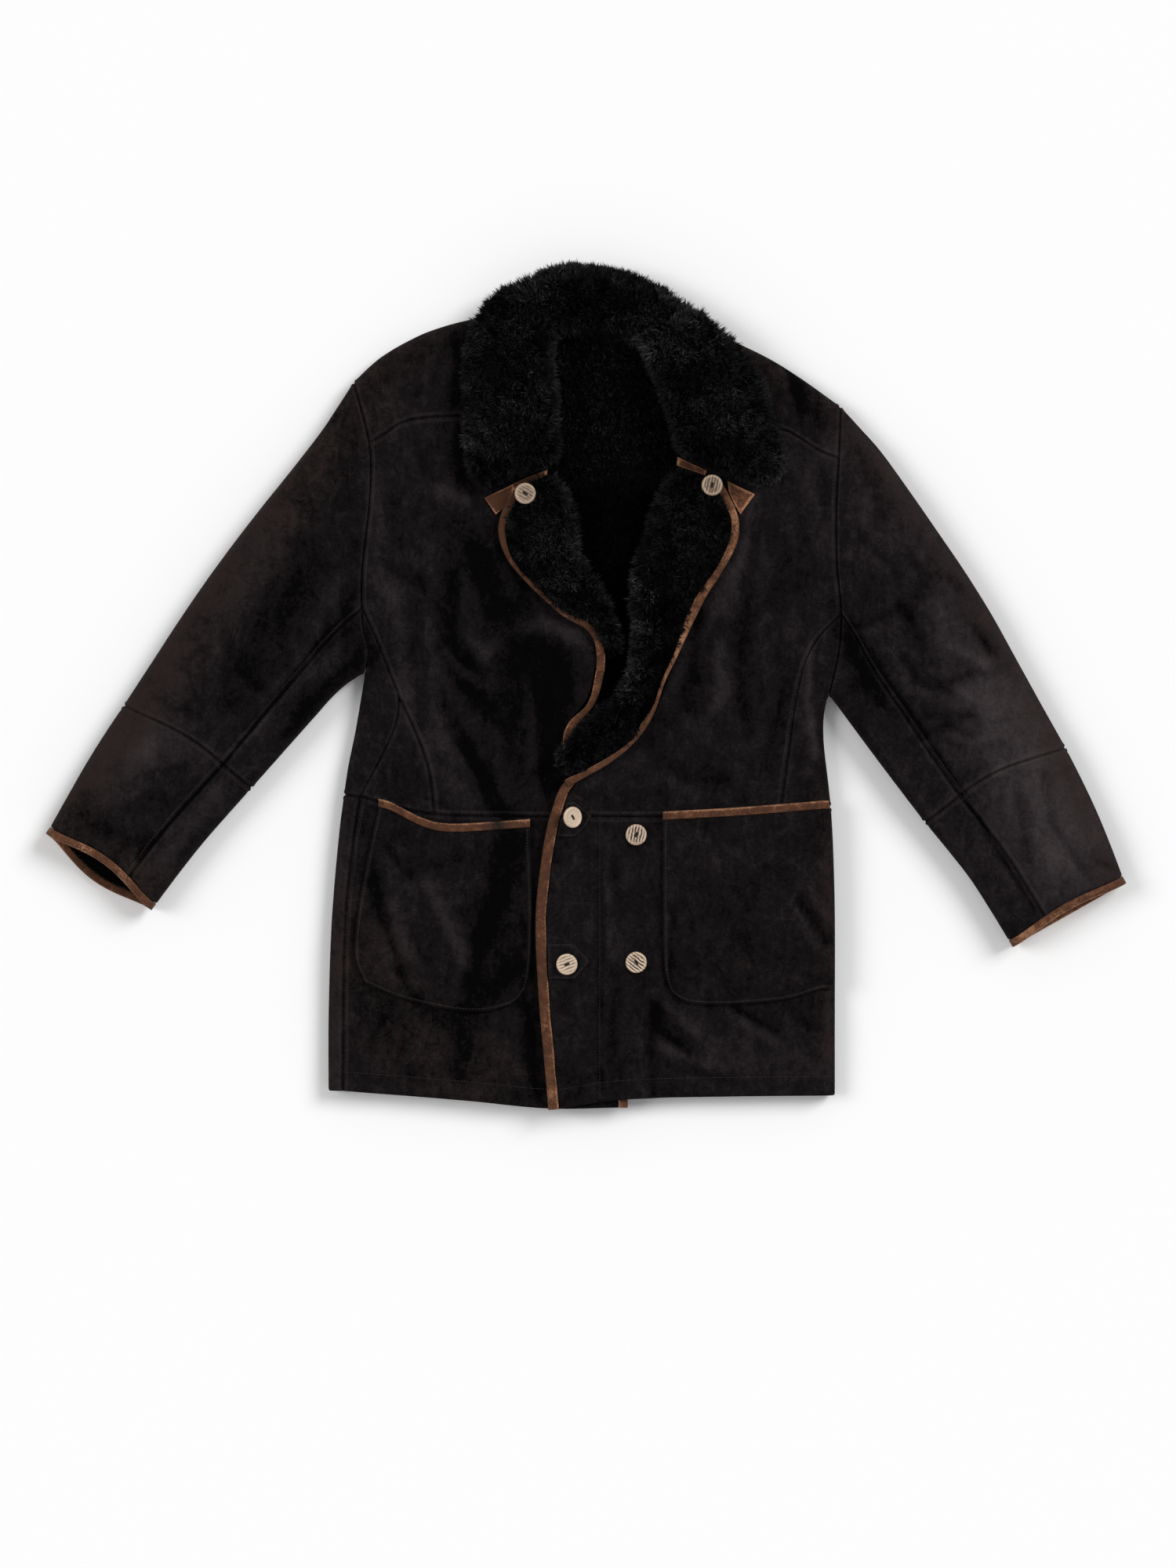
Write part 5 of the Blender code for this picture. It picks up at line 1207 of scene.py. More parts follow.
def buttonFinish():
    look = {"cream": (0.62, 0.48, 0.355), "brown": (0.100, 0.056, 0.033), "pale": (0.76, 0.62, 0.47),
            "ridge": (0.032, 0.016, 0.009), "rim": (0.60, 0.45, 0.33), "hole": (0.006, 0.004, 0.003)}
    s = Finish("ridgedHorn", {"Roughness": 0.42, "Specular IOR Level": 0.35})
    across, rim = s.attribute("grain"), s.attribute("rim")
    aged, bold = s.attribute("aged"), s.attribute("bold")
    wander = s.noise(s.place, 0.008, 3, 0.6)
    lined = s.xyz(across + wander * 3.4)
    fine = s.noise(s.place, 0.0009, 3, 0.6)
    streak = s.noise(s.vector("SCALE", lined, scale=mm), 0.0011, 3, 0.7)
    wave = s.add("ShaderNodeTexWave", {"wave_type": "BANDS", "bands_direction": "X"},
                 {"Vector": lined, "Scale": math.pi / 10 / buttonShape["ridgePitch"], "Distortion": 0.0},
                 "Fac")
    here = s.ramp(s.noise(s.place, 0.0055, 2, 0.5, 0.7), 0.3, 0.62)
    line = s.ramp(wave + streak * 0.5 + fine * 0.3 - 0.4, 0.62, 0.25) * bold * (0.5 + here * 0.5)
    body = s.mix(aged * 0.9 + (streak - 0.5) * 0.7 + (fine - 0.5) * 0.4, look["cream"], look["brown"])
    body = s.mix(s.ramp(wave, 0.6, 0.95) * bold * here * 0.7, body, look["pale"])
    body = s.mix(line, body, look["ridge"])
    # the rim painted lighter all round: a painted highlight, a little weaker on the aged buttons
    body = s.mix(rim * (0.35 + fine * 0.4) * (1 - aged * 0.3), body, look["rim"])
    body = s.mix(s.attribute("hole"), body, look["hole"])
    bumps = s.bump(wave * (1 - rim), 0.0003, 0.8)
    bumps = s.bump(streak + fine, 0.00012, 0.5, bumps)
    return s.finish(Base_Color=body, Roughness=0.5 - rim * 0.12, Normal=bumps)


def threadFinish(name, colour):
    s = Finish(name, {"Roughness": 0.75, "Specular IOR Level": 0.2})
    twist = s.noise(s.place, 0.0008, 2, 0.5)
    body = s.mix(twist, tuple(part * 0.6 for part in colour), tuple(part * 1.4 for part in colour))
    return s.finish(Base_Color=body, Normal=s.bump(twist, 0.0002, 0.6))


finishes = {"suede": suedeFinish(), "fur": furFinish(), "pelt": peltFinish(),
            "binding": bindingFinish(), "button": buttonFinish(),
            "thread": threadFinish("seamThread", (0.034, 0.025, 0.021)),
            "buttonThread": threadFinish("buttonThread", (0.016, 0.011, 0.009))}
print("finishes mixed:", len(finishes))


# Geometry node trees

def treeWith(name, sizes):
    group = bpy.data.node_groups.new(name, "GeometryNodeTree")
    group.interface.new_socket("Geometry", in_out="INPUT", socket_type="NodeSocketGeometry")
    group.interface.new_socket("Geometry", in_out="OUTPUT", socket_type="NodeSocketGeometry")
    sockets = {}
    for label, value in sizes.items():
        kind = "NodeSocketInt" if isinstance(value, int) else "NodeSocketFloat"
        sockets[label] = group.interface.new_socket(label, in_out="INPUT", socket_type=kind)
    tree = Tree(group)
    start = tree.add("NodeGroupInput")
    return tree, start, {label: start.other(label) for label in sizes}, sockets


def endTree(tree, geometry, material, grounded=False):
    real = tree.add("GeometryNodeRealizeInstances", None, {"Geometry": geometry})
    if grounded:                # nothing reaches below the floor
        spot = tree.parts(tree.add("GeometryNodeInputPosition"))
        place = tree.xyz(spot, spot.other("Y"), spot.maths("MAXIMUM", spot.other("Z"), 0.0003))
        real = tree.add("GeometryNodeSetPosition", None, {"Geometry": real, "Position": place})
    done = tree.add("GeometryNodeSetMaterial", None, {"Geometry": real, "Material": material})
    end = tree.nodeTree.nodes.new("NodeGroupOutput")
    tree.nodeTree.links.new(done.socket, end.inputs[0])


def grown(name, base, tree, sockets, sizes, slot):
    # the tree's result on a base, as a plain mesh of its own
    modifier = base.modifiers.new(name, "NODES")
    modifier.node_group = tree.nodeTree
    for label, value in sizes.items():
        modifier[sockets[label].identifier] = value
    seen = base.evaluated_get(bpy.context.evaluated_depsgraph_get())
    mesh = bpy.data.meshes.new_from_object(seen)
    base.modifiers.remove(modifier)
    bpy.data.objects.remove(base)
    mesh.name = name
    for label in ("flow", "reach", "furry"):
        if label in mesh.attributes:
            mesh.attributes.remove(mesh.attributes[label])
    piece = placed(name, mesh)
    made[name] = piece
    print(name, len(mesh.polygons), "faces")


def furTree(sizes):
    tree, start, size, sockets = treeWith("furLocks", sizes)

    def named(label, kind="FLOAT"):
        return tree.add("GeometryNodeInputNamedAttribute", {"data_type": kind}, {"Name": label}, "Attribute")

    def uneven(wave):
        noise = tree.noise(place, wave, 2, 0.5).other("Color")
        return tree.vector("SUBTRACT", noise, (0.5, 0.5, 0.5))

    points = tree.add("GeometryNodeDistributePointsOnFaces", None,
                      {"Mesh": start, "Density": named("furry") * size["Density"],
                       "Seed": size["Seed"]}, "Points")
    place = tree.add("GeometryNodeInputPosition")
    shifted = tree.vector("ADD", place, tree.vector("SCALE", uneven(0.012), scale=0.006))
    cell = tree.add("ShaderNodeTexVoronoi", None, {"Vector": shifted, "Scale": size["Locks"]},
                    "Position")
    towards = tree.vector("SUBTRACT", cell, shifted)
    loose = tree.add("FunctionNodeRandomValue", {"data_type": "FLOAT_VECTOR"},
                     {0: (-0.5, -0.5, -0.5), 1: (0.5, 0.5, 0.5), "Seed": 3}, 0)
    direction = tree.vector("SCALE", points.other("Normal"), scale=size["Lift"])
    for part, strength in ((named("flow", "FLOAT_VECTOR"), size["Comb"]), (towards, size["Pull"]),
                           (uneven(0.045), size["Swirl"]), (loose, size["Loose"])):
        direction = tree.vector("ADD", direction, tree.vector("SCALE", part, scale=strength))
    spin = tree.add("FunctionNodeEulerToRotation", None, {0: tree.xyz(z=tree.chance(0.0, 6.283, 5))})
    aim = tree.add("FunctionNodeAlignRotationToVector", {"axis": "Z"},
                   {"Rotation": spin, "Vector": direction})
    lock = tree.parts(cell.other("Color"))
    tuft = tree.noise(place, 0.009, 2, 0.5)
    reach = tree.chance(0.75, 1.08, 7) * (0.32 + lock * 0.55 + tuft * 0.62) * named("reach")
    shape = tree.xyz(size["Width"], reach * size["Bend"], reach)
    leaf = tree.add("GeometryNodeMeshGrid", None,
                    {"Size X": 1.0, "Size Y": 1.0, "Vertices X": 2, "Vertices Y": 2})
    # a bent leaf of one folded face: two corners at the root, one half way up, one at the tip
    spot = tree.parts(tree.add("GeometryNodeInputPosition"))
    upper, tipSide = spot.other("Y") + 0.5, spot + 0.5
    along = upper * (0.5 + tipSide * 0.5)
    bent = tree.xyz(spot * (1 - upper * (0.3 + tipSide * 0.7)), along * along, along)
    blade = tree.add("GeometryNodeStoreNamedAttribute", {"data_type": "FLOAT", "domain": "POINT"},
                     {"Geometry": leaf, "Name": "tip", "Value": along})
    blade = tree.add("GeometryNodeSetPosition", None, {"Geometry": blade, "Position": bent})
    for label, value in (("lock", lock), ("strand", tree.chance(0.0, 1.0, 9))):
        points = tree.add("GeometryNodeStoreNamedAttribute", {"data_type": "FLOAT", "domain": "POINT"},
                          {"Geometry": points, "Name": label, "Value": value})
    blades = tree.add("GeometryNodeInstanceOnPoints", None,
                      {"Points": points, "Instance": blade, "Rotation": aim, "Scale": shape})
    endTree(tree, blades, finishes["fur"], grounded=True)
    return tree, sockets


fur = {"Density": 2.4e6, "Width": 0.00085, "Bend": 0.5, "Locks": 235.0, "Lift": 0.6, "Comb": 0.9,
       "Pull": 310.0, "Swirl": 1.7, "Loose": 0.42, "Seed": 4}
furCreases = [              # rolls of the pile: line, width, rise
    ([(-112, 407), (-42, 407)], 9, -4.5), ([(-116, 232), (-48, 267)], 8, -3.5),
    ([(118, 354), (142, 316)], 9, -2.2), ([(-76, 164), (-50, 185), (-25, 193)], 7, -4.0),
    ([(73, 121), (82, 100), (80, 66), (76, 15), (56, -32)], 12, -8.5),
]
glints = [                  # x, y, how wide, how strong: painted highlight where the tips catch light, painted shade where the strength is below zero
    (-50, 444, 26, 0.9), (-8, 457, 12, 0.8), (-50, 406, 22, 0.8), (-76, 393, 22, 0.5), (-116, 397, 14, 0.5),
    (-122, 270, 20, 0.6), (-84, 287, 34, 0.4), (-59, 312, 20, 0.4), (-37, 295, 7, 1.2), (69, 389, 20, 2.1),
    (86, 380, 22, 1.9), (111, 410, 20, 0.5), (137, 389, 24, 0.6), (79, 329, 12, 0.6), (150, 312, 28, 0.6),
    (162, 283, 24, 0.4), (179, 217, 20, 0.7), (201, 236, 16, 0.6), (188, 338, 12, 0.5), (-42, 181, 14, 1.1),
    (-50, 159, 16, 0.6), (-31, 219, 12, 0.6), (-26, 147, 20, 0.6), (-20, 113, 20, 0.5), (22, 62, 12, 0.5),
    (-80, 189, 10, 0.4), (56, 115, 15, 1.6), (71, 107, 12, 1.4), (100, 190, 34, 0.2),
    (62, 66, 14, 1.4), (60, 28, 14, 1.3), (52, -4, 14, 1.0), (26, -36, 24, -0.2), (80, 60, 16, 0.7),
    (-29, -80, 16, 0.5), (34, 404, 16, 0.1), (-90, 345, 22, -0.25), (130, 250, 26, -0.5),
    (92, 335, 14, -0.4), (70, 150, 10, -0.5), (-70, 130, 14, -0.4),
]
glintSpots = [([(x, y), (x + 0.1, y)], width, strength) for x, y, width, strength in glints]
furRecipe = furTree(fur)


def furOn(name, base, **changes):
    grown(name, base, *furRecipe, {**fur, **changes}, "fur")


stitch = {"Pitch": 0.0034, "Length": 0.0026, "Thickness": 0.00062}


def stitchTree(sizes):
    tree, start, size, sockets = treeWith("stitchRow", sizes)
    line = tree.add("GeometryNodeMeshToCurve", None, {"Mesh": start})
    line = tree.add("GeometryNodeResampleCurve", {"mode": "LENGTH"},
                    {"Curve": line, "Length": size["Pitch"]})
    bead = tree.add("GeometryNodeMeshUVSphere", None, {"Segments": 5, "Rings": 4, "Radius": 0.5})
    aim = tree.add("FunctionNodeAlignRotationToVector", {"axis": "Z"},
                   {"Vector": tree.add("GeometryNodeInputTangent")})
    shape = tree.xyz(size["Thickness"], size["Thickness"], size["Length"])
    row = tree.add("GeometryNodeInstanceOnPoints", None,
                   {"Points": line, "Instance": bead, "Rotation": aim, "Scale": shape})
    row = tree.add("GeometryNodeSetShadeSmooth", None, {"Geometry": row})
    endTree(tree, row, finishes["thread"])
    return tree, sockets


stitchRecipe = stitchTree(stitch)


def stitchesAlong(name, lines, slot, **changes):
    # lines of points on the surface, in millimetres
    verts, edges = [], []
    for line in lines:
        start = len(verts)
        verts += (np.asarray(line) * mm).tolist()
        edges += [(start + i, start + i + 1) for i in range(len(line) - 1)]
    mesh = bpy.data.meshes.new(name)
    mesh.from_pydata(verts, edges, [])
    grown(name, placed(name + "Line", mesh), *stitchRecipe, {**stitch, **changes}, slot)


# Collar and lapels: a pelt inside the solid, its fur reaching out to the solid's form

collar = {
    # inner x, y, outer x, y, height of the underside, 1 behind the neck and 0 on the lobes
    "sections": [
        (-39, 239, -112, 208, 25, 0), (-34, 262, -126, 240, 25, 0), (-35, 290, -131, 277, 25, 0),
        (-37, 320, -130, 314, 25, 0), (-40, 348, -131, 350, 25, 0), (-39, 370, -127, 383, 25, 0.1),
        (-32, 386, -113, 411, 25, 0.35), (-22, 389, -84, 432, 24, 0.65), (-9, 387, -54, 445, 18, 0.9),
        (3, 386, -26, 455, 5, 1), (13, 385, 2, 454, 0, 1), (22, 384, 26, 450, 0, 1),
        (32, 383, 50, 443, 5, 1), (43, 382, 76, 432, 18, 0.9), (53, 381, 101, 414, 24, 0.65),
        (62, 372, 130, 397, 25, 0.35), (69, 354, 160, 371, 25, 0.1), (77, 332, 186, 338, 25, 0),
        (85, 310, 198, 302, 25, 0), (92, 288, 207, 268, 25, 0), (97, 268, 213, 236, 25, 0),
        (99, 254, 182, 212, 25, 0),
    ],
    # share across, top and underside on the lobes, top and underside behind the neck
    "profile": [
        (0.00, 42, 4, 15, 0), (0.07, 51, 0, 21, 0), (0.25, 57, 0, 34, 0), (0.50, 55, 0, 47, 0),
        (0.75, 50, 0, 48, 0), (0.92, 45, 0, 38, 1), (1.00, 38, 4, 27, 6),
    ],
    "furDepth": 8.0, "endTrim": 0.28, "reach": 13.0, "rows": 130, "leastUnder": 0.8, "leastThick": 2.5,
    # where the collar stands behind the neck: its underside comes down to this height between these x
    "neck": {"height": 9.2, "from": -45, "to": 64, "blend": 5, "above": 370, "rise": 8},
    "parting": [(0, -1), (0.1, -0.6), (0.25, 0.35), (0.6, 0.6), (1, 1.1)], "droop": -0.45,
    "lumpRise": 1.6, "lumpScale": 1.6, "thinEnds": [(0, 0.4), (1, 0.6), (4, 1.0)],
}
lapels = {
    # folded edge x, y, cut edge x, y, height of the pile over the front
    "right": [
        (-41, 233, -79, 214, 15), (-27, 218, -92, 192, 17), (-16, 196, -96, 168, 18),
        (-12, 170, -88, 143, 18), (-10, 148, -72, 122, 18), (-1, 130, -52, 102, 18),
        (13, 110, -26, 80, 17), (24, 88, 0, 67, 16), (33, 64, 13, 54, 15), (34, 46, 17, 40, 13),
        (32, 33, 17.5, 29, 11),
    ],
    "left": [
        (93, 238, 146, 223, 15), (82, 215, 156, 204, 17), (72, 192, 164, 182, 18),
        (65, 164, 162, 156, 18), (53, 134, 145, 124, 18), (49, 106, 129, 99, 18),
        (51, 76, 113, 67, 18), (51, 42, 98, 35, 18), (44, 12, 84, 6, 17), (31, -8, 73, -26, 17),
        (10, -27, 57, -52, 16), (-10, -47, 28, -75, 15), (-28, -66, 2, -90, 14),
        (-37, -85, -18, -101, 12),
    ],
    "crown": [(0.0, 0.62), (0.12, 0.93), (0.42, 1.0), (0.78, 0.88), (1.0, 0.6)],
    "parting": {"right": [(0, -1.3), (0.1, -0.8), (0.3, 0.3), (1, 0.9)],
                "left": [(0, -1.3), (0.12, -0.9), (0.26, -0.6), (0.4, 0.5), (1, 0.9)]},
    "furDepth": 7.5, "reach": 12.0, "rollInset": 5.5, "leastThick": 2.0, "droop": -0.35,
    "lumpRise": 1.2, "lumpScale": 1.9,
    # the pile is shorter towards the cut edge, and still shorter there near the foot
    "shorter": [(0, 1), (0.6, 1), (0.85, 0.8), (1, 0.55)],
    "foot": {"from": 0.72, "blend": 0.2, "share": 0.6}, "tip": {"blend": 0.06, "share": 0.45},
    "tails": {"right": [(17, 18)], "left": [(-22, -104)]},      # last point of each binding
}


def sampled(dense, places):
    low = np.clip(np.floor(places).astype(int), 0, len(dense) - 2)
    part = (np.asarray(places) - low)[:, None]
    return dense[low] * (1 - part) + dense[low + 1] * part


def peltBody(name, node, top, under):
    faces = wallFaces(*top.shape[:2])
    piece = newMesh(name, bothSides(top, under), faces, finishes["pelt"], smoothAngle=180)
    return dressed(piece, node)


def flowAcross(top, share, parting):
    # away from the fold, and back over it near the fold itself
    across = np.gradient(top, axis=1)
    across /= np.linalg.norm(across, axis=2)[..., None]
    return across * np.interp(share, *np.array(parting, float).T)[None, :, None]


def makeCollar():
    steps = 6
    dense = eased(collar["sections"], steps)
    count = len(dense) - 1
    trim, rows = collar["endTrim"] * steps, collar["rows"]
    spec = sampled(dense, np.linspace(trim, count - trim, rows))
    shape = eased(collar["profile"], 8)
    share = np.concatenate([np.linspace(0.07, 0.14, 5), np.linspace(0.18, 0.8, 14),
                            np.linspace(0.84, 0.92, 4)])
    column = [np.interp(share, shape[:, 0], shape[:, k]) for k in range(1, 5)]
    behind = np.clip(spec[:, 5], 0, 1)[:, None]
    inner, outer = spec[:, None, 0:2], spec[:, None, 2:4]
    plan = inner + (outer - inner) * share[None, :, None]
    top = (1 - behind) * column[0] + behind * column[2] - collar["furDepth"]
    under = spec[:, 4:5] + (1 - behind) * column[1] + behind * column[3] + collar["leastUnder"]
    under = np.maximum(under, collar["leastUnder"])
    x, y, neck = plan[..., 0], plan[..., 1], collar["neck"]
    between = smoothStep((x - neck["from"]) / neck["blend"]) * smoothStep((neck["to"] - x) / neck["blend"])
    between = between * smoothStep((y - neck["above"]) / neck["rise"])
    under = np.minimum(under, under * (1 - between) + neck["height"] * between)
    top = top + strokes(plan, furCreases) + collar["lumpRise"] * lumps(plan * collar["lumpScale"])
    top = np.maximum(top, under + collar["leastThick"])
    grids = [np.dstack([plan, top]), np.dstack([plan, under + 0 * top])]
    droop = np.array([0, collar["droop"], 0]) * (1 - behind)[..., None]
    flow = flowAcross(grids[0], share, collar["parting"]) + droop
    peltBody("collarPelt", "collar", *grids)
    ends = np.minimum(np.arange(rows), np.arange(rows)[::-1])[:, None]
    reach = collar["reach"] * np.interp(ends, *np.array(collar["thinEnds"]).T) + 0 * top
    middle = rows // 2 + 1
    for side, start, end, joined in (("right", 0, middle + 1, "last"), ("left", middle, rows, "first")):
        part = wallPart(*(grid[start:end] for grid in (*grids, flow, reach)), joined)
        furOn(f"{side}CollarFur", part, Seed=11 + start)


def furGround(verts, faces, furry, flow, reach, glint):
    # what fur stands on, turned to face upward
    part = newMesh("furGround", verts, faces, finishes["pelt"],
                   {"furry": furry, "flow": flow, "reach": reach * mm, "glint": glint}, 180)
    if sum(polygon.normal[2] * polygon.area for polygon in part.data.polygons) < 0:
        part.data.flip_normals()
    return part


def wallPart(top, under, flow, reach, joined=""):
    # top and edges of a pelt, without the underside or the end that is joined on
    rows, cols = top.shape[:2]
    faces = [gridFaces(rows, cols)]
    shift = rows * cols
    ring = np.arange(rows - 1)
    for col, sense in ((0, 1), (cols - 1, -1)):
        a, b = ring * cols + col, (ring + 1) * cols + col
        quad = np.stack([a, b, b + shift, a + shift], 1)
        faces.append(quad[:, ::sense])
    for row, sense, label in ((0, -1, "first"), (rows - 1, 1, "last")):
        if label == joined:
            continue
        a = row * cols + np.arange(cols - 1)
        faces.append(np.stack([a, a + 1, a + 1 + shift, a + shift], 1)[:, ::sense])
    verts = bothSides(top, under)
    # glint: painted highlight from the glint spots, painted shade in the rolls and troughs of the pile
    glint = strokes(verts[:, :2], glintSpots) + 0.12 * strokes(verts[:, :2], furCreases)
    return furGround(verts, np.concatenate(faces), np.repeat([1.0, 0.35], rows * cols),
                     np.vstack([flow.reshape(-1, 3)] * 2), np.tile(reach.ravel(), 2), glint)


def lapelLines(word):
    dense = eased(lapels[word], 6)
    return dense[:, 0:2], dense[:, 2:4], dense[:, 4]


def makeLapel(side):
    word, inward = side["word"], -side["sign"]
    roll, edge, pile = lapelLines(word)
    along = Route(edge).reach / Route(edge).length
    width, shift = (np.interp(along, *np.array(bindings[f"{word}Lapel"][key], float).T)
                    for key in ("width", "shift"))
    inside = beside(edge, inward * np.maximum(width - shift - 1.5, 1.5))
    roll = beside(roll, -inward * lapels["rollInset"])
    places = np.linspace(1.6, len(roll) - 2.2, 3 * len(roll) // 2)
    roll, inside, pile = sampled(roll, places), sampled(inside, places), sampled(pile[:, None], places)
    share = np.concatenate([[0.0, 0.05, 0.11], np.linspace(0.18, 0.86, 10), [0.91, 0.96]])
    crown = np.interp(share, *np.array(lapels["crown"]).T)
    plan = roll[:, None] + (inside - roll)[:, None] * share[None, :, None]
    under = topHeight(plan, side["sign"]) + coat["layGap"]
    top = under + pile * crown - lapels["furDepth"]
    top = top + lapels["lumpRise"] * lumps(plan * lapels["lumpScale"]) + strokes(plan, furCreases)
    top = np.maximum(top, under + lapels["leastThick"])
    grids = [np.dstack([plan, top]), np.dstack([plan, under])]
    flow = flowAcross(grids[0], share, lapels["parting"][word]) + np.array([0, lapels["droop"], 0])
    peltBody(f"{word}LapelPelt", f"{word}_lapel", *grids)
    low = np.linspace(0, 1, len(top))[:, None]
    foot, tip = lapels["foot"], lapels["tip"]
    atFoot, offTip = smoothStep((low - foot["from"]) / foot["blend"]), smoothStep((1 - low) / tip["blend"])
    reach = lapels["reach"] * np.interp(share, *np.array(lapels["shorter"]).T) + 0 * top
    reach *= (1 - foot["share"] * share * atFoot) * (tip["share"] + (1 - tip["share"]) * offTip)
    furOn(f"{word}LapelFur", wallPart(*grids, flow, reach), Seed=31 + side["sign"])


lining = {"top": 384.0, "bottom": -52.0, "underEdge": 16.0, "height": 7.7, "reach": 7.0,
          "shadeFrom": 285.0, "shadeBlend": 110, "lit": 1.4, "shade": 2.8}


def makeLining():
    # pile of the back, seen down the neck
    rightLine = np.vstack([eased(right["neckline"]), eased(right["frontEdge"]), eased(right["bound"][:5])])
    leftLine = np.vstack([eased(left["neckline"]), eased(left["frontEdge"])])
    up = np.linspace(lining["bottom"], lining["top"], 90)
    ends = []
    for line, sense in ((rightLine, -1), (leftLine, 1)):
        order = np.argsort(line[:, 1])
        ends.append(np.interp(up, line[order, 1], line[order, 0]) + sense * lining["underEdge"])
    u = np.linspace(0, 1, 30)
    x = ends[0][:, None] + (ends[1] - ends[0])[:, None] * u
    grid = np.dstack([x, up[:, None] + 0 * x, lining["height"] + 0 * x])
    verts = grid.reshape(-1, 3)
    every = np.ones(len(verts))
    shaded = smoothStep((lining["shadeFrom"] - verts[:, 1]) / lining["shadeBlend"])
    glint = lining["lit"] - lining["shade"] * shaded
    part = furGround(verts, gridFaces(*grid.shape[:2]), every, np.outer(every, (0, -0.9, 0)),
                     lining["reach"] * every, glint)
    furOn("neckFur", part, Seed=51, Density=0.72e6, Width=0.0013, Lift=0.55)


# Bindings, pockets and small leathers

bindingEdge = [             # share across, how far the top and the underside round off
    (0.0, 0.30), (0.04, 0.17), (0.12, 0.07), (0.28, 0.01), (0.5, 0.0), (0.72, 0.0), (0.86, 0.02),
    (0.95, 0.06), (1.0, 0.16),
]
bindings = {
    # by the share of the way down: visible width, how far outside the line it lies, top over the hide
    "rightLapel": {"width": [(0, 9), (0.2, 8), (0.3, 5), (0.68, 4.6), (0.76, 7), (0.86, 9.6),
                             (0.93, 9), (1, 8.4)],
                   "shift": [(0, 0), (0.6, 1), (0.785, 3.5), (0.86, 6.5), (0.92, 7.2), (1, 7.2)],
                   "high": [(0, 9.2), (0.82, 9.2), (1, 2.4)]},
    "leftLapel": {"width": [(0, 8.5), (0.18, 8.5), (0.28, 7.5), (0.33, 8.5), (0.36, 10), (0.42, 10),
                            (0.45, 7), (0.53, 5), (0.6, 3.2), (0.66, 4), (0.73, 7), (0.785, 3.4),
                            (0.8, 5), (0.9, 6.5), (1, 8.5)],
                  "shift": [(0, 0), (0.76, 0), (0.82, 2.5), (0.9, 4), (1, 4)],
                  "high": [(0, 9.2), (0.86, 9.2), (1, 2.6)]},
    "rightFront": {"width": [(0, 9.0), (0.06, 7.6), (0.1, 7.2), (0.14, 9.5), (1, 9.5)],
                   "shift": [(0, 0.8), (0.06, 0.4), (0.12, 0), (1, 0)], "high": [(0, 1), (1, 1)]},
    "leftFront": {"width": [(0, 9), (0.1, 11.3), (1, 11.3)], "shift": [(0, 0), (1, 0)],
                  "high": [(0, 1), (1, 1)]},
}


def stripPiece(side, part, line, inward, low, full):
    # a folded strip along a line, narrower or lower where its table says so
    name, path = f"{side['word']}{part}", Route(line)
    dense = path.spaced(max(4, int(path.length / binding["spacing"])))
    share = np.linspace(0, 1, len(dense))
    width, shift, high = (np.interp(share, *np.array(bindings[name][key], float).T)[:, None]
                          for key in ("width", "shift", "high"))
    (waver, waverWave), (swell, swellWave) = binding["waver"], binding["swell"]
    width = np.minimum(width, full) + waver * np.sin(share * path.length / waverWave)[:, None]
    steps, rounding = np.array(bindingEdge).T
    start = beside(dense, -inward * shift)
    plan = np.stack([beside(start, inward * full * step) for step in steps], 1)
    across = np.linalg.norm(plan[:, -1:] - plan[:, :1], axis=2)
    shrink = np.minimum(width / np.maximum(across, 1e-6), 1.0)
    plan = plan[:, :1] + (plan - plan[:, :1]) * shrink[..., None]
    ground = topHeight(plan[:, -1:], side["sign"]) + 0 * plan[..., 0]
    swell = swell * np.sin(share * path.length / swellWave)[:, None] * np.sin(math.pi * steps)
    top = ground + high - (high - low) * rounding + swell
    under = ground + low + (high - low) * rounding * (steps < 0.5)
    bindingPiece(f"{name}Binding", f"{side['word']}_{part.lower()}_binding", np.dstack([plan, top]),
                 np.dstack([plan, under]))


def makeBindings():
    for side in (right, left):
        stripPiece(side, "Front", eased(side["bound"]), side["sign"], -coat["hide"] - binding["proud"],
                   side["binding"])
        cut = np.vstack([lapelLines(side["word"])[1], lapels["tails"][side["word"]]])
        stripPiece(side, "Lapel", cut, -side["sign"], 2 * coat["layGap"], binding["lapel"])


pockets = {
    "right": {
        "top": [(-226, -129), (-212, -133), (-178, -150), (-144, -156), (-62, -151)],
        "outer": [(-226, -129), (-244, -215), (-252, -285), (-241, -319)],
        "bottom": [(-241, -319), (-195, -338), (-127, -351), (-84, -343), (-68, -326)],
        "inner": [(-62, -151), (-60, -257), (-63, -305), (-68, -326)],
        # pinches in the binding: x, how deep, how wide; a dark stain: x, how wide
        "pinches": [(-150.5, 1.0, 1.1), (-125, 1.0, 1.1), (-224.5, 0.9, 0.9), (-68, 0.9, 0.9)],
        "stain": (-97, 12),
    },
    "left": {
        "top": [(256, -131), (170, -138), (82, -143)],
        "outer": [(256, -131), (257, -200), (257, -290), (253, -326)],
        "bottom": [(253, -326), (213, -338), (150, -343), (111, -341), (92, -330)],
        "inner": [(82, -143), (82, -230), (84, -305), (92, -330)],
        "pinches": [(88, 0.9, 0.9)], "stain": (1000, 1),
    },
    "hide": 6.0, "bindingRise": 1.5, "bindingRound": 3.2, "gridStep": 5.5, "bindingStep": 1.6,
    "edgeDip": 2.6, "edgeWidth": 1.3, "roll": 0.45, "rollAt": 2.4, "stitchAt": 4.6, "stitchDip": 0.7,
    "turns": (60, 66, 72, 78, 84),      # levels round the folded side, in degrees
}


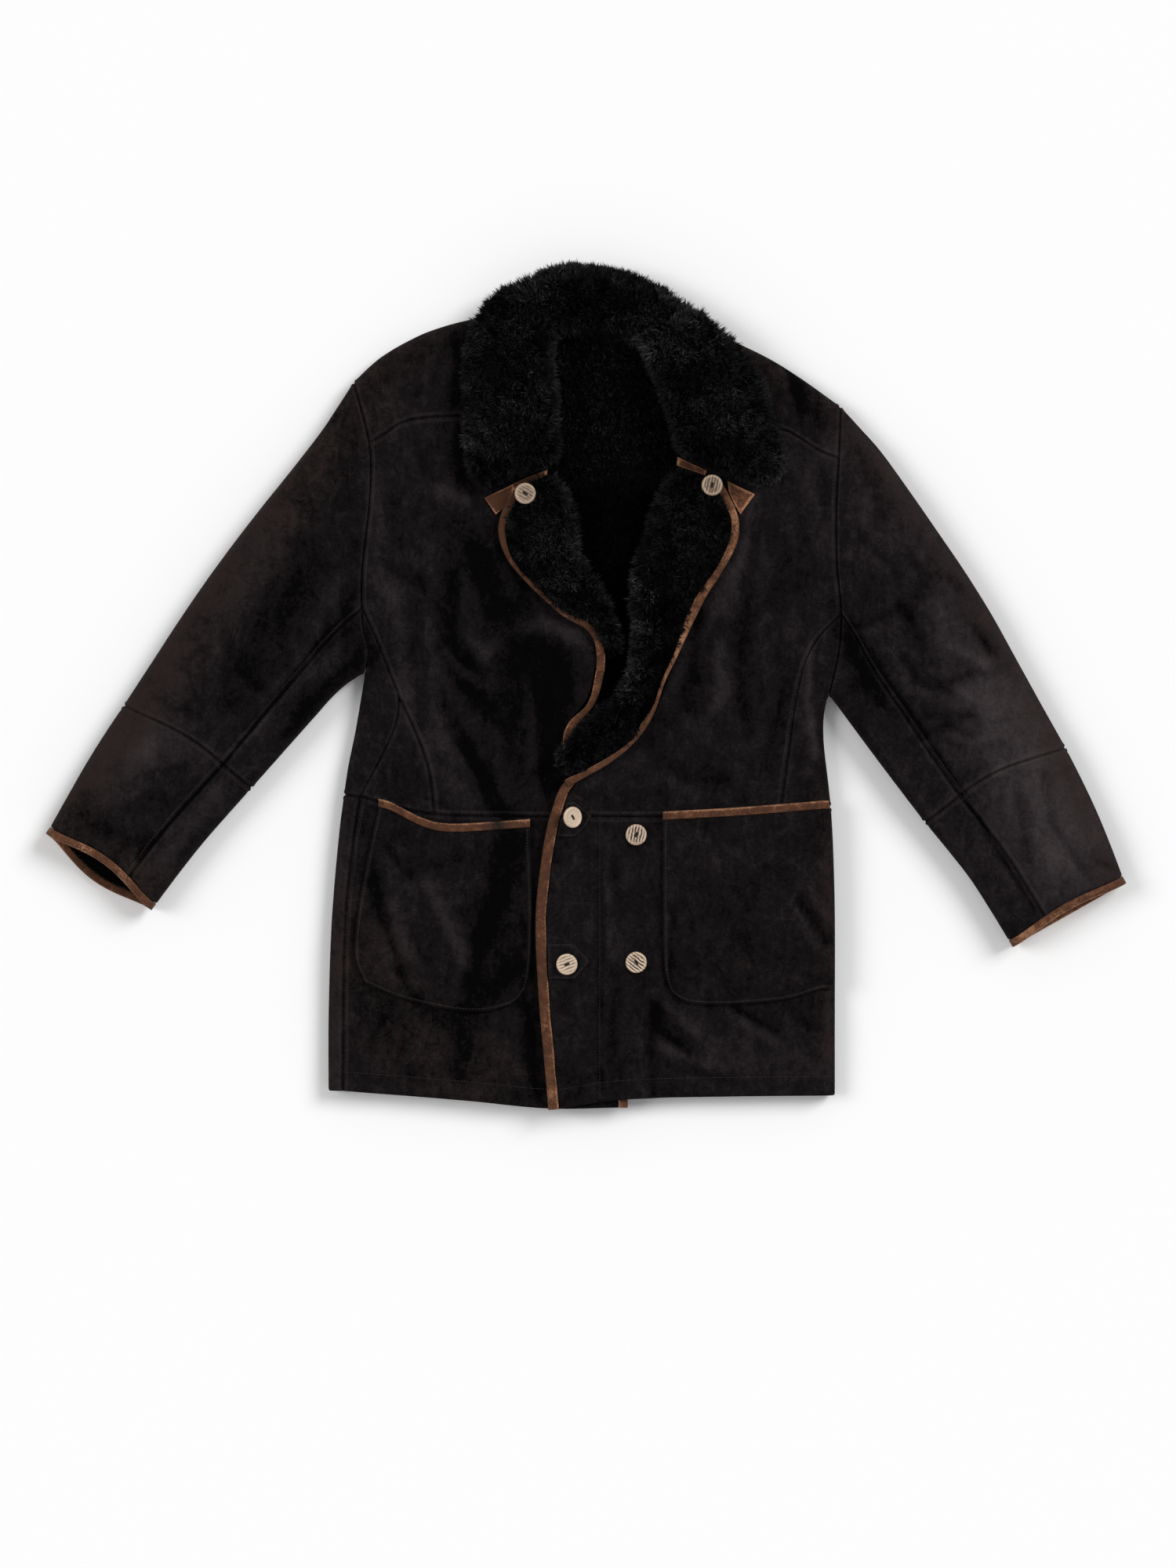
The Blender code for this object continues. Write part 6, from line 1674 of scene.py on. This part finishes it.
def pocketTurn(grid, raised):
    # columns that follow the rounded side past the flat part of the left front
    fold = eased(left["sideFold"])
    edgeX = np.interp(-grid[:, 0, 1], -fold[:, 1], fold[:, 0])
    radius = coat["laidHeight"] / 2
    columns = []
    for angle in np.radians(pockets["turns"]):
        out, up = ((radius + raised[:, 0]) * part(angle) for part in (math.cos, math.sin))
        columns.append(np.column_stack([edgeX - radius + out, grid[:, 0, 1], radius + up]))
    return np.array(columns).transpose(1, 0, 2)


def onFront(side, plan, raised):
    # top and underside of a layer on a front, carried round the fold on the left one
    layers = []
    for rise in (raised, coat["layGap"] + 0 * raised):
        layer = np.dstack([plan, topHeight(plan, side["sign"]) + rise])
        layers.append(np.concatenate([pocketTurn(plan, rise), layer], 1) if side is left else layer)
    return layers


def makePocket(side):
    word, shape = side["word"], pockets[side["word"]]
    edges = {label: Route(eased(shape[label])) for label in ("top", "outer", "bottom", "inner")}
    v, u = (seamShares(edges[label].length, pockets["gridStep"]) for label in ("outer", "top"))
    plan = filled(edges["outer"], edges["inner"], edges["bottom"].shared(u), edges["top"].shared(u), u, v)
    plan = plan[::-1]
    away = edgeDistances(np.dstack([plan, 0 * plan[..., 0]]))
    nearest = np.minimum(away["bottom"], away["last"])
    if side is right:
        nearest = np.minimum(nearest, away["first"])
    edge = -pockets["edgeDip"] * np.exp(-(nearest / pockets["edgeWidth"]) ** 2)
    edge += pockets["roll"] * np.exp(-((nearest - pockets["rollAt"]) / pockets["edgeWidth"]) ** 2)
    edge -= pockets["stitchDip"] * np.exp(-(nearest - pockets["stitchAt"]) ** 2)
    over, under = onFront(side, plan, coat["layGap"] + pockets["hide"] + edge)
    verts = bothSides(over, under)
    rub, shade = np.exp(-((nearest - pockets["rollAt"]) / 1.8) ** 2), shadeAt(plan, side["sign"])
    if side is left:
        rub, shade = (np.concatenate([np.repeat(part[:, :1], len(pockets["turns"]), 1), part], 1)
                      for part in (rub, shade))
    piece = newMesh(f"{word}PocketHide", verts, wallFaces(*over.shape[:2]), finishes["suede"],
                    {"rub": np.concatenate([rub.ravel(), 0 * rub.ravel()]),
                     "shade": np.tile(shade.ravel(), 2),
                     "worn": wornAt(verts[:, :2]), "pile": np.zeros(len(verts))})
    panels[piece.name] = over
    dressed(piece, f"{word}_pocket")
    makePocketBinding(side, Route(plan[0]))


def makePocketBinding(side, line):
    word, shape = side["word"], pockets[side["word"]]
    dense = line.spaced(int(line.length / pockets["bindingStep"]))
    steps, rounding = np.array(bindingEdge)[::-1].T
    offsets = coat["seamGap"] + (binding["width"] - coat["seamGap"]) * (1 - steps)
    plan = (dense[:, None] + np.stack([0 * offsets, offsets], 1)[None]).transpose(1, 0, 2)
    x = plan[..., 0]
    rise = pockets["hide"] + pockets["bindingRise"] - pockets["bindingRound"] * rounding[:, None] + 0 * x
    for centre, depth, spread in shape["pinches"]:
        rise -= depth * np.exp(-((x - centre) / spread) ** 2)
    rise += binding["ripple"][0] * np.sin(x / binding["ripple"][1])
    over, under = onFront(side, plan, coat["layGap"] + rise)
    verts = bothSides(over, under)
    across = np.tile(np.repeat(1 - steps, over.shape[1]), 2)
    centre, spread = shape["stain"]
    stain = np.exp(-((verts[:, 0] - centre) / spread) ** 2)
    piece = newMesh(f"{word}PocketBinding", verts, wallFaces(*over.shape[:2]), finishes["binding"],
                    {"across": across, "stain": stain, "along": verts[:, 0] * mm})
    dressed(piece, f"{word}_pocket_binding")


leathers = {
    # node, side, slot, outline
    "rightGorgeStrip": ("right_gorge_strip", -1, "binding", [
        (-43, 236.5), (-68, 227), (-84, 219.5), (-80, 214), (-60, 222.5), (-44, 231)]),
    "leftGorgeStrip": ("left_gorge_strip", 1, "binding", [
        (98, 250.5), (130, 235), (128, 230.5), (97, 241.5)]),
    "rightCollarTab": ("right_collar_tab", -1, "binding", [
        (-112, 206), (-80, 221), (-80, 212), (-92, 194), (-99, 188)]),
    "leftCollarTab": ("left_collar_tab", 1, "binding", [
        (182, 210), (152, 224.5), (153, 214), (160, 198), (166, 188)]),
    "upperButtonholePatch": ("upper_buttonhole_patch", 1, "suede", [
        (-23, -125), (-14, -123), (5, -138), (-2, -150), (-14, -161), (-33, -161)]),
    "lowerButtonholePatch": ("lower_buttonhole_patch", 1, "suede", [
        (-43, -277), (-14, -277), (3, -296), (-14, -315), (-42, -315)]),
}
leatherBit = {
    "thick": 1.6, "middle": 0.8, "rubAt": 1.3, "rubWidth": 1.2, "rub": 1.5,
    # how far in from the rim, share of the thickness
    "rings": [(0.0, 0.0), (0.0, 0.62), (0.5, 0.95), (1.3, 1.0), (2.4, 0.86), (4.5, 0.78), (7.0, 0.82)],
}


def makeLeather(name, node, side, slot, outline):
    corners = np.array(outline, float)
    closed = np.vstack([corners, corners[:1]])
    rim = np.vstack([a + (b - a) * np.linspace(0, 1, 8)[:-1, None] for a, b in zip(closed[:-1], closed[1:])])
    centre = rim.mean(0)
    meanReach = np.linalg.norm(rim - centre, axis=1).mean()
    insets, levels = np.array(leatherBit["rings"]).T
    verts = []
    for share, level in zip(np.minimum(insets / meanReach, 0.9), levels):
        ring = rim + (centre - rim) * share
        raised = topHeight(ring, side) + coat["layGap"] + leatherBit["thick"] * level
        verts.append(np.column_stack([ring, raised]))
    for level in (leatherBit["middle"], 0.0):
        verts.append([*centre, topHeight(centre, side) + coat["layGap"] + leatherBit["thick"] * level])
    verts = np.vstack(verts)
    inset = np.concatenate([np.repeat(insets, len(rim)), [9, 9]])
    rub = leatherBit["rub"] * np.exp(-((inset - leatherBit["rubAt"]) / leatherBit["rubWidth"]) ** 2)
    if slot == "binding":
        rub += strokes(verts[:, :2], bindingWear)
    piece = newMesh(name, verts, roundFaces(len(insets), len(rim), len(verts) - 1, len(verts) - 2),
                    finishes[slot], {"across": 1 - np.clip(inset / 6, 0, 0.8), "rub": rub,
                                     "worn": 0 * inset, "pile": 0 * inset})
    dressed(piece, node)


# Buttons

buttons = {
    # x, y, height of the underside, tilt, way the ridges run, way the slot runs, aged, bold ridges
    "rightLapel": (-67, 210, 41.3, 0, -32, -35, 0.85, 0.4, "right_lapel_button"),
    "leftLapel": (135, 219, 39.8, 0, 76, 75, 1.0, 0.5, "left_lapel_button"),
    "upperInner": (-17, -140, 42.6, 34, 40, -55, 0.05, 0.12, "upper_inner_button"),
    "upperOuter": (53, -159, 28.4, 0, 80, 65, 0.68, 1.0, "upper_outer_button"),
    "lowerInner": (-22, -299, 36.8, 0, 20, 25, 0.1, 0.7, "lower_inner_button"),
    "lowerOuter": (53, -297, 34.2, 0, -38, -60, 0.38, 1.35, "lower_outer_button"),
}


def makeButton(name, spec):
    x, y, base, tilt, ridge, slotWay, aged, bold, node = spec
    shape = buttonShape
    count = shape["segments"]
    turn = np.linspace(0, 2 * math.pi, count, endpoint=False)
    rings = [(r, shape["face"]) for r in np.linspace(0.045, 0.6, 13)] + shape["profile"]
    verts, grain, rim, hole = [], [], [], []
    ridgeWay, slotWay = math.radians(ridge), math.radians(slotWay)
    for r, level in rings:
        px, py = r * shape["radius"] * np.cos(turn), r * shape["radius"] * np.sin(turn)
        across = -px * math.sin(ridgeWay) + py * math.cos(ridgeWay)
        z = level * shape["thick"] + 0 * px
        sunk = 0 * px
        if r <= 0.72:
            z += shape["ridgeDepth"] * np.sin(2 * math.pi * across / shape["ridgePitch"])
            along = px * math.cos(slotWay) + py * math.sin(slotWay)
            aside = -px * math.sin(slotWay) + py * math.cos(slotWay)
            gap = np.hypot(np.maximum(np.abs(along) - shape["slotHalf"], 0), aside)
            sunk = smoothStep((shape["slotWidth"] + 0.35 - gap) / 0.5)
            z -= shape["slotDepth"] * sunk
        verts.append(np.column_stack([px, py, z]))
        grain.append(across)
        hole.append(sunk)
        rim.append(np.full(count, float(smoothStep((r - 0.68) / 0.12)) if level > 0.3 else 0.4))
    verts.append([[0, 0, shape["face"] * shape["thick"] - shape["slotDepth"]], [0, 0, 0]])
    verts = np.vstack(verts)
    ends = ((grain, [0, 0]), (rim, [0, 0.4]), (hole, [1, 0]))
    grain, rim, hole = (np.concatenate(rows + [row]) for rows, row in ends)
    faces = roundFaces(len(rings), count, len(verts) - 2, len(verts) - 1)
    lean = math.radians(tilt)
    turned = np.array([[math.cos(lean), 0, math.sin(lean)], [0, 1, 0], [-math.sin(lean), 0, math.cos(lean)]])
    piece = newMesh(f"{name}Button", verts @ turned.T + (x, y, base), faces, finishes["button"],
                    {"grain": grain, "rim": rim, "hole": hole, "aged": np.full(len(grain), aged),
                     "bold": np.full(len(grain), bold)}, 60)
    dressed(piece, node)
    along = shape["slotHalf"] * np.array([math.cos(slotWay), math.sin(slotWay)])
    ends = [(*(sense * along), shape["face"] * shape["thick"] - shape["threadSunk"]) for sense in (-1, 1)]
    return np.array(ends) @ turned.T + (x, y, base)


# Putting it together

armholes = {side["sign"]: Armhole(side) for side in (right, left)}
lines = {side["sign"]: sideLines(side, armholes[side["sign"]]) for side in (right, left)}
backPanels(armholes, lines)
rightPanels(armholes[-1], lines[-1])
leftPanels(armholes[1], lines[1])
for side in (right, left):
    yoke(side, armholes[side["sign"]])
    Sleeve(side, armholes[side["sign"]]).build()
print("hides laid:", len(made))

makeBindings()
makePocket(right)
makePocket(left)
for name, spec in leathers.items():
    makeLeather(name, *spec)
threads = [makeButton(name, spec) for name, spec in buttons.items()]
print("bindings, pockets and buttons on")

stitched = {
    "seams": [
        ("rightFrontUpperHide", "top first bottom"), ("leftFrontUpperHide", "top first bottom"),
        ("rightFrontLowerHide", "first"), ("leftFrontLowerHide", "top"),
        ("rightUpperSleeveHide", "first"), ("leftUpperSleeveHide", "first"),
        ("rightUpperCuffHide", "top"), ("leftUpperCuffHide", "top"),
        ("rightUpperCuffHide", "first"), ("leftUpperCuffHide", "first"),
        ("rightUnderCuffHide", "top"), ("leftUnderCuffHide", "top"),
    ],
    "pockets": [("rightPocketHide", "bottom first last"), ("leftPocketHide", "bottom last")],
    "pocketEnds": 4,                    # points left out at each end of a pocket's line
    "hems": [("rightFrontLowerHide", "bottom"), ("leftFrontLowerHide", "bottom")], "hemInset": 21.0,
    "visible": 14,                      # the other lines end where the coat turns down past this height
    "facing": {"x": 13.6, "from": -141, "to": -444, "points": 120},
}


def stitchLines():
    trim, facing = stitched["pocketEnds"], stitched["facing"]
    down = np.linspace(facing["from"], facing["to"], facing["points"])
    plan = np.column_stack([np.full(len(down), facing["x"]), down])
    found = []
    for group, inset in (("seams", seam["stitchAt"]), ("pockets", pockets["stitchAt"]),
                         ("hems", stitched["hemInset"])):
        for name, edges in stitched[group]:
            for edge in edges.split():
                line = insetLine(panels[name], edge, inset)
                seen = slice(trim, -trim) if group == "pockets" else line[:, 2] > stitched["visible"]
                found.append(line[seen])
    return found + [np.column_stack([plan, topHeight(plan, 1)])]


stitchesAlong("seamStitches", stitchLines(), "suede")
stitchesAlong("buttonThreads", threads, "button", Pitch=0.0038, Length=0.0042, Thickness=0.0011)

makeCollar()
makeLapel(right)
makeLapel(left)
makeLining()
print("fur grown")

for piece in made.values():
    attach(piece, "root")


# Floor, light and camera

studio = {
    "centre": (0.00085, -0.104), "distance": 6.0, "frameHeight": 1.7, "floorLevel": -0.0006,
    "floorWhite": 0.92, "floorReach": 6.0, "world": 0.42, "sensor": 36.0,
    # where each soft light comes from, and its strength
    "lights": {"softKey": ((0.62, 0.42, 0.66), 1.9), "softFill": ((-0.74, 0.12, 0.66), 1.2)},
    "softness": 28,
}


def makeStudio():
    floor = bpy.data.meshes.new("floor")
    reach = studio["floorReach"]
    corners = [(x * reach, y * reach, studio["floorLevel"]) for x, y in ((-1, -1), (1, -1), (1, 1), (-1, 1))]
    floor.from_pydata(corners, [], [(0, 1, 2, 3)])
    s = Finish("paleFloor", {"Roughness": 0.9, "Specular IOR Level": 0.1,
                             "Base Color": (studio["floorWhite"],) * 3 + (1,)})
    floor.materials.append(s.material)
    placed("floor", floor)
    for name, (place, strength) in studio["lights"].items():
        light = bpy.data.lights.new(name, "SUN")
        light.angle, light.energy = math.radians(studio["softness"]), strength
        lamp = placed(name, light)
        lamp.rotation_euler = Vector(place).to_track_quat("Z", "Y").to_euler()
    world = bpy.data.worlds.new("studio")
    bpy.context.scene.world = world
    world.use_nodes = True
    background = world.node_tree.nodes["Background"]
    background.inputs["Color"].default_value = (1, 1, 1, 1)
    background.inputs["Strength"].default_value = studio["world"]
    lens = bpy.data.cameras.new("camera")
    lens.sensor_width = studio["sensor"]
    lens.lens = studio["sensor"] * studio["distance"] / studio["frameHeight"]
    lens.clip_end = 50
    camera = placed("camera", lens)
    camera.location = (*studio["centre"], studio["distance"] + coat["laidHeight"] * mm)
    bpy.context.scene.camera = camera
    bpy.context.scene.view_settings.view_transform = "Standard"


makeStudio()
triangles = {name: sum(len(face.vertices) - 2 for face in piece.data.polygons)
             for name, piece in made.items()}
print("triangles:", sum(triangles.values()), "largest:", max(triangles.items(), key=lambda pair: pair[1]))
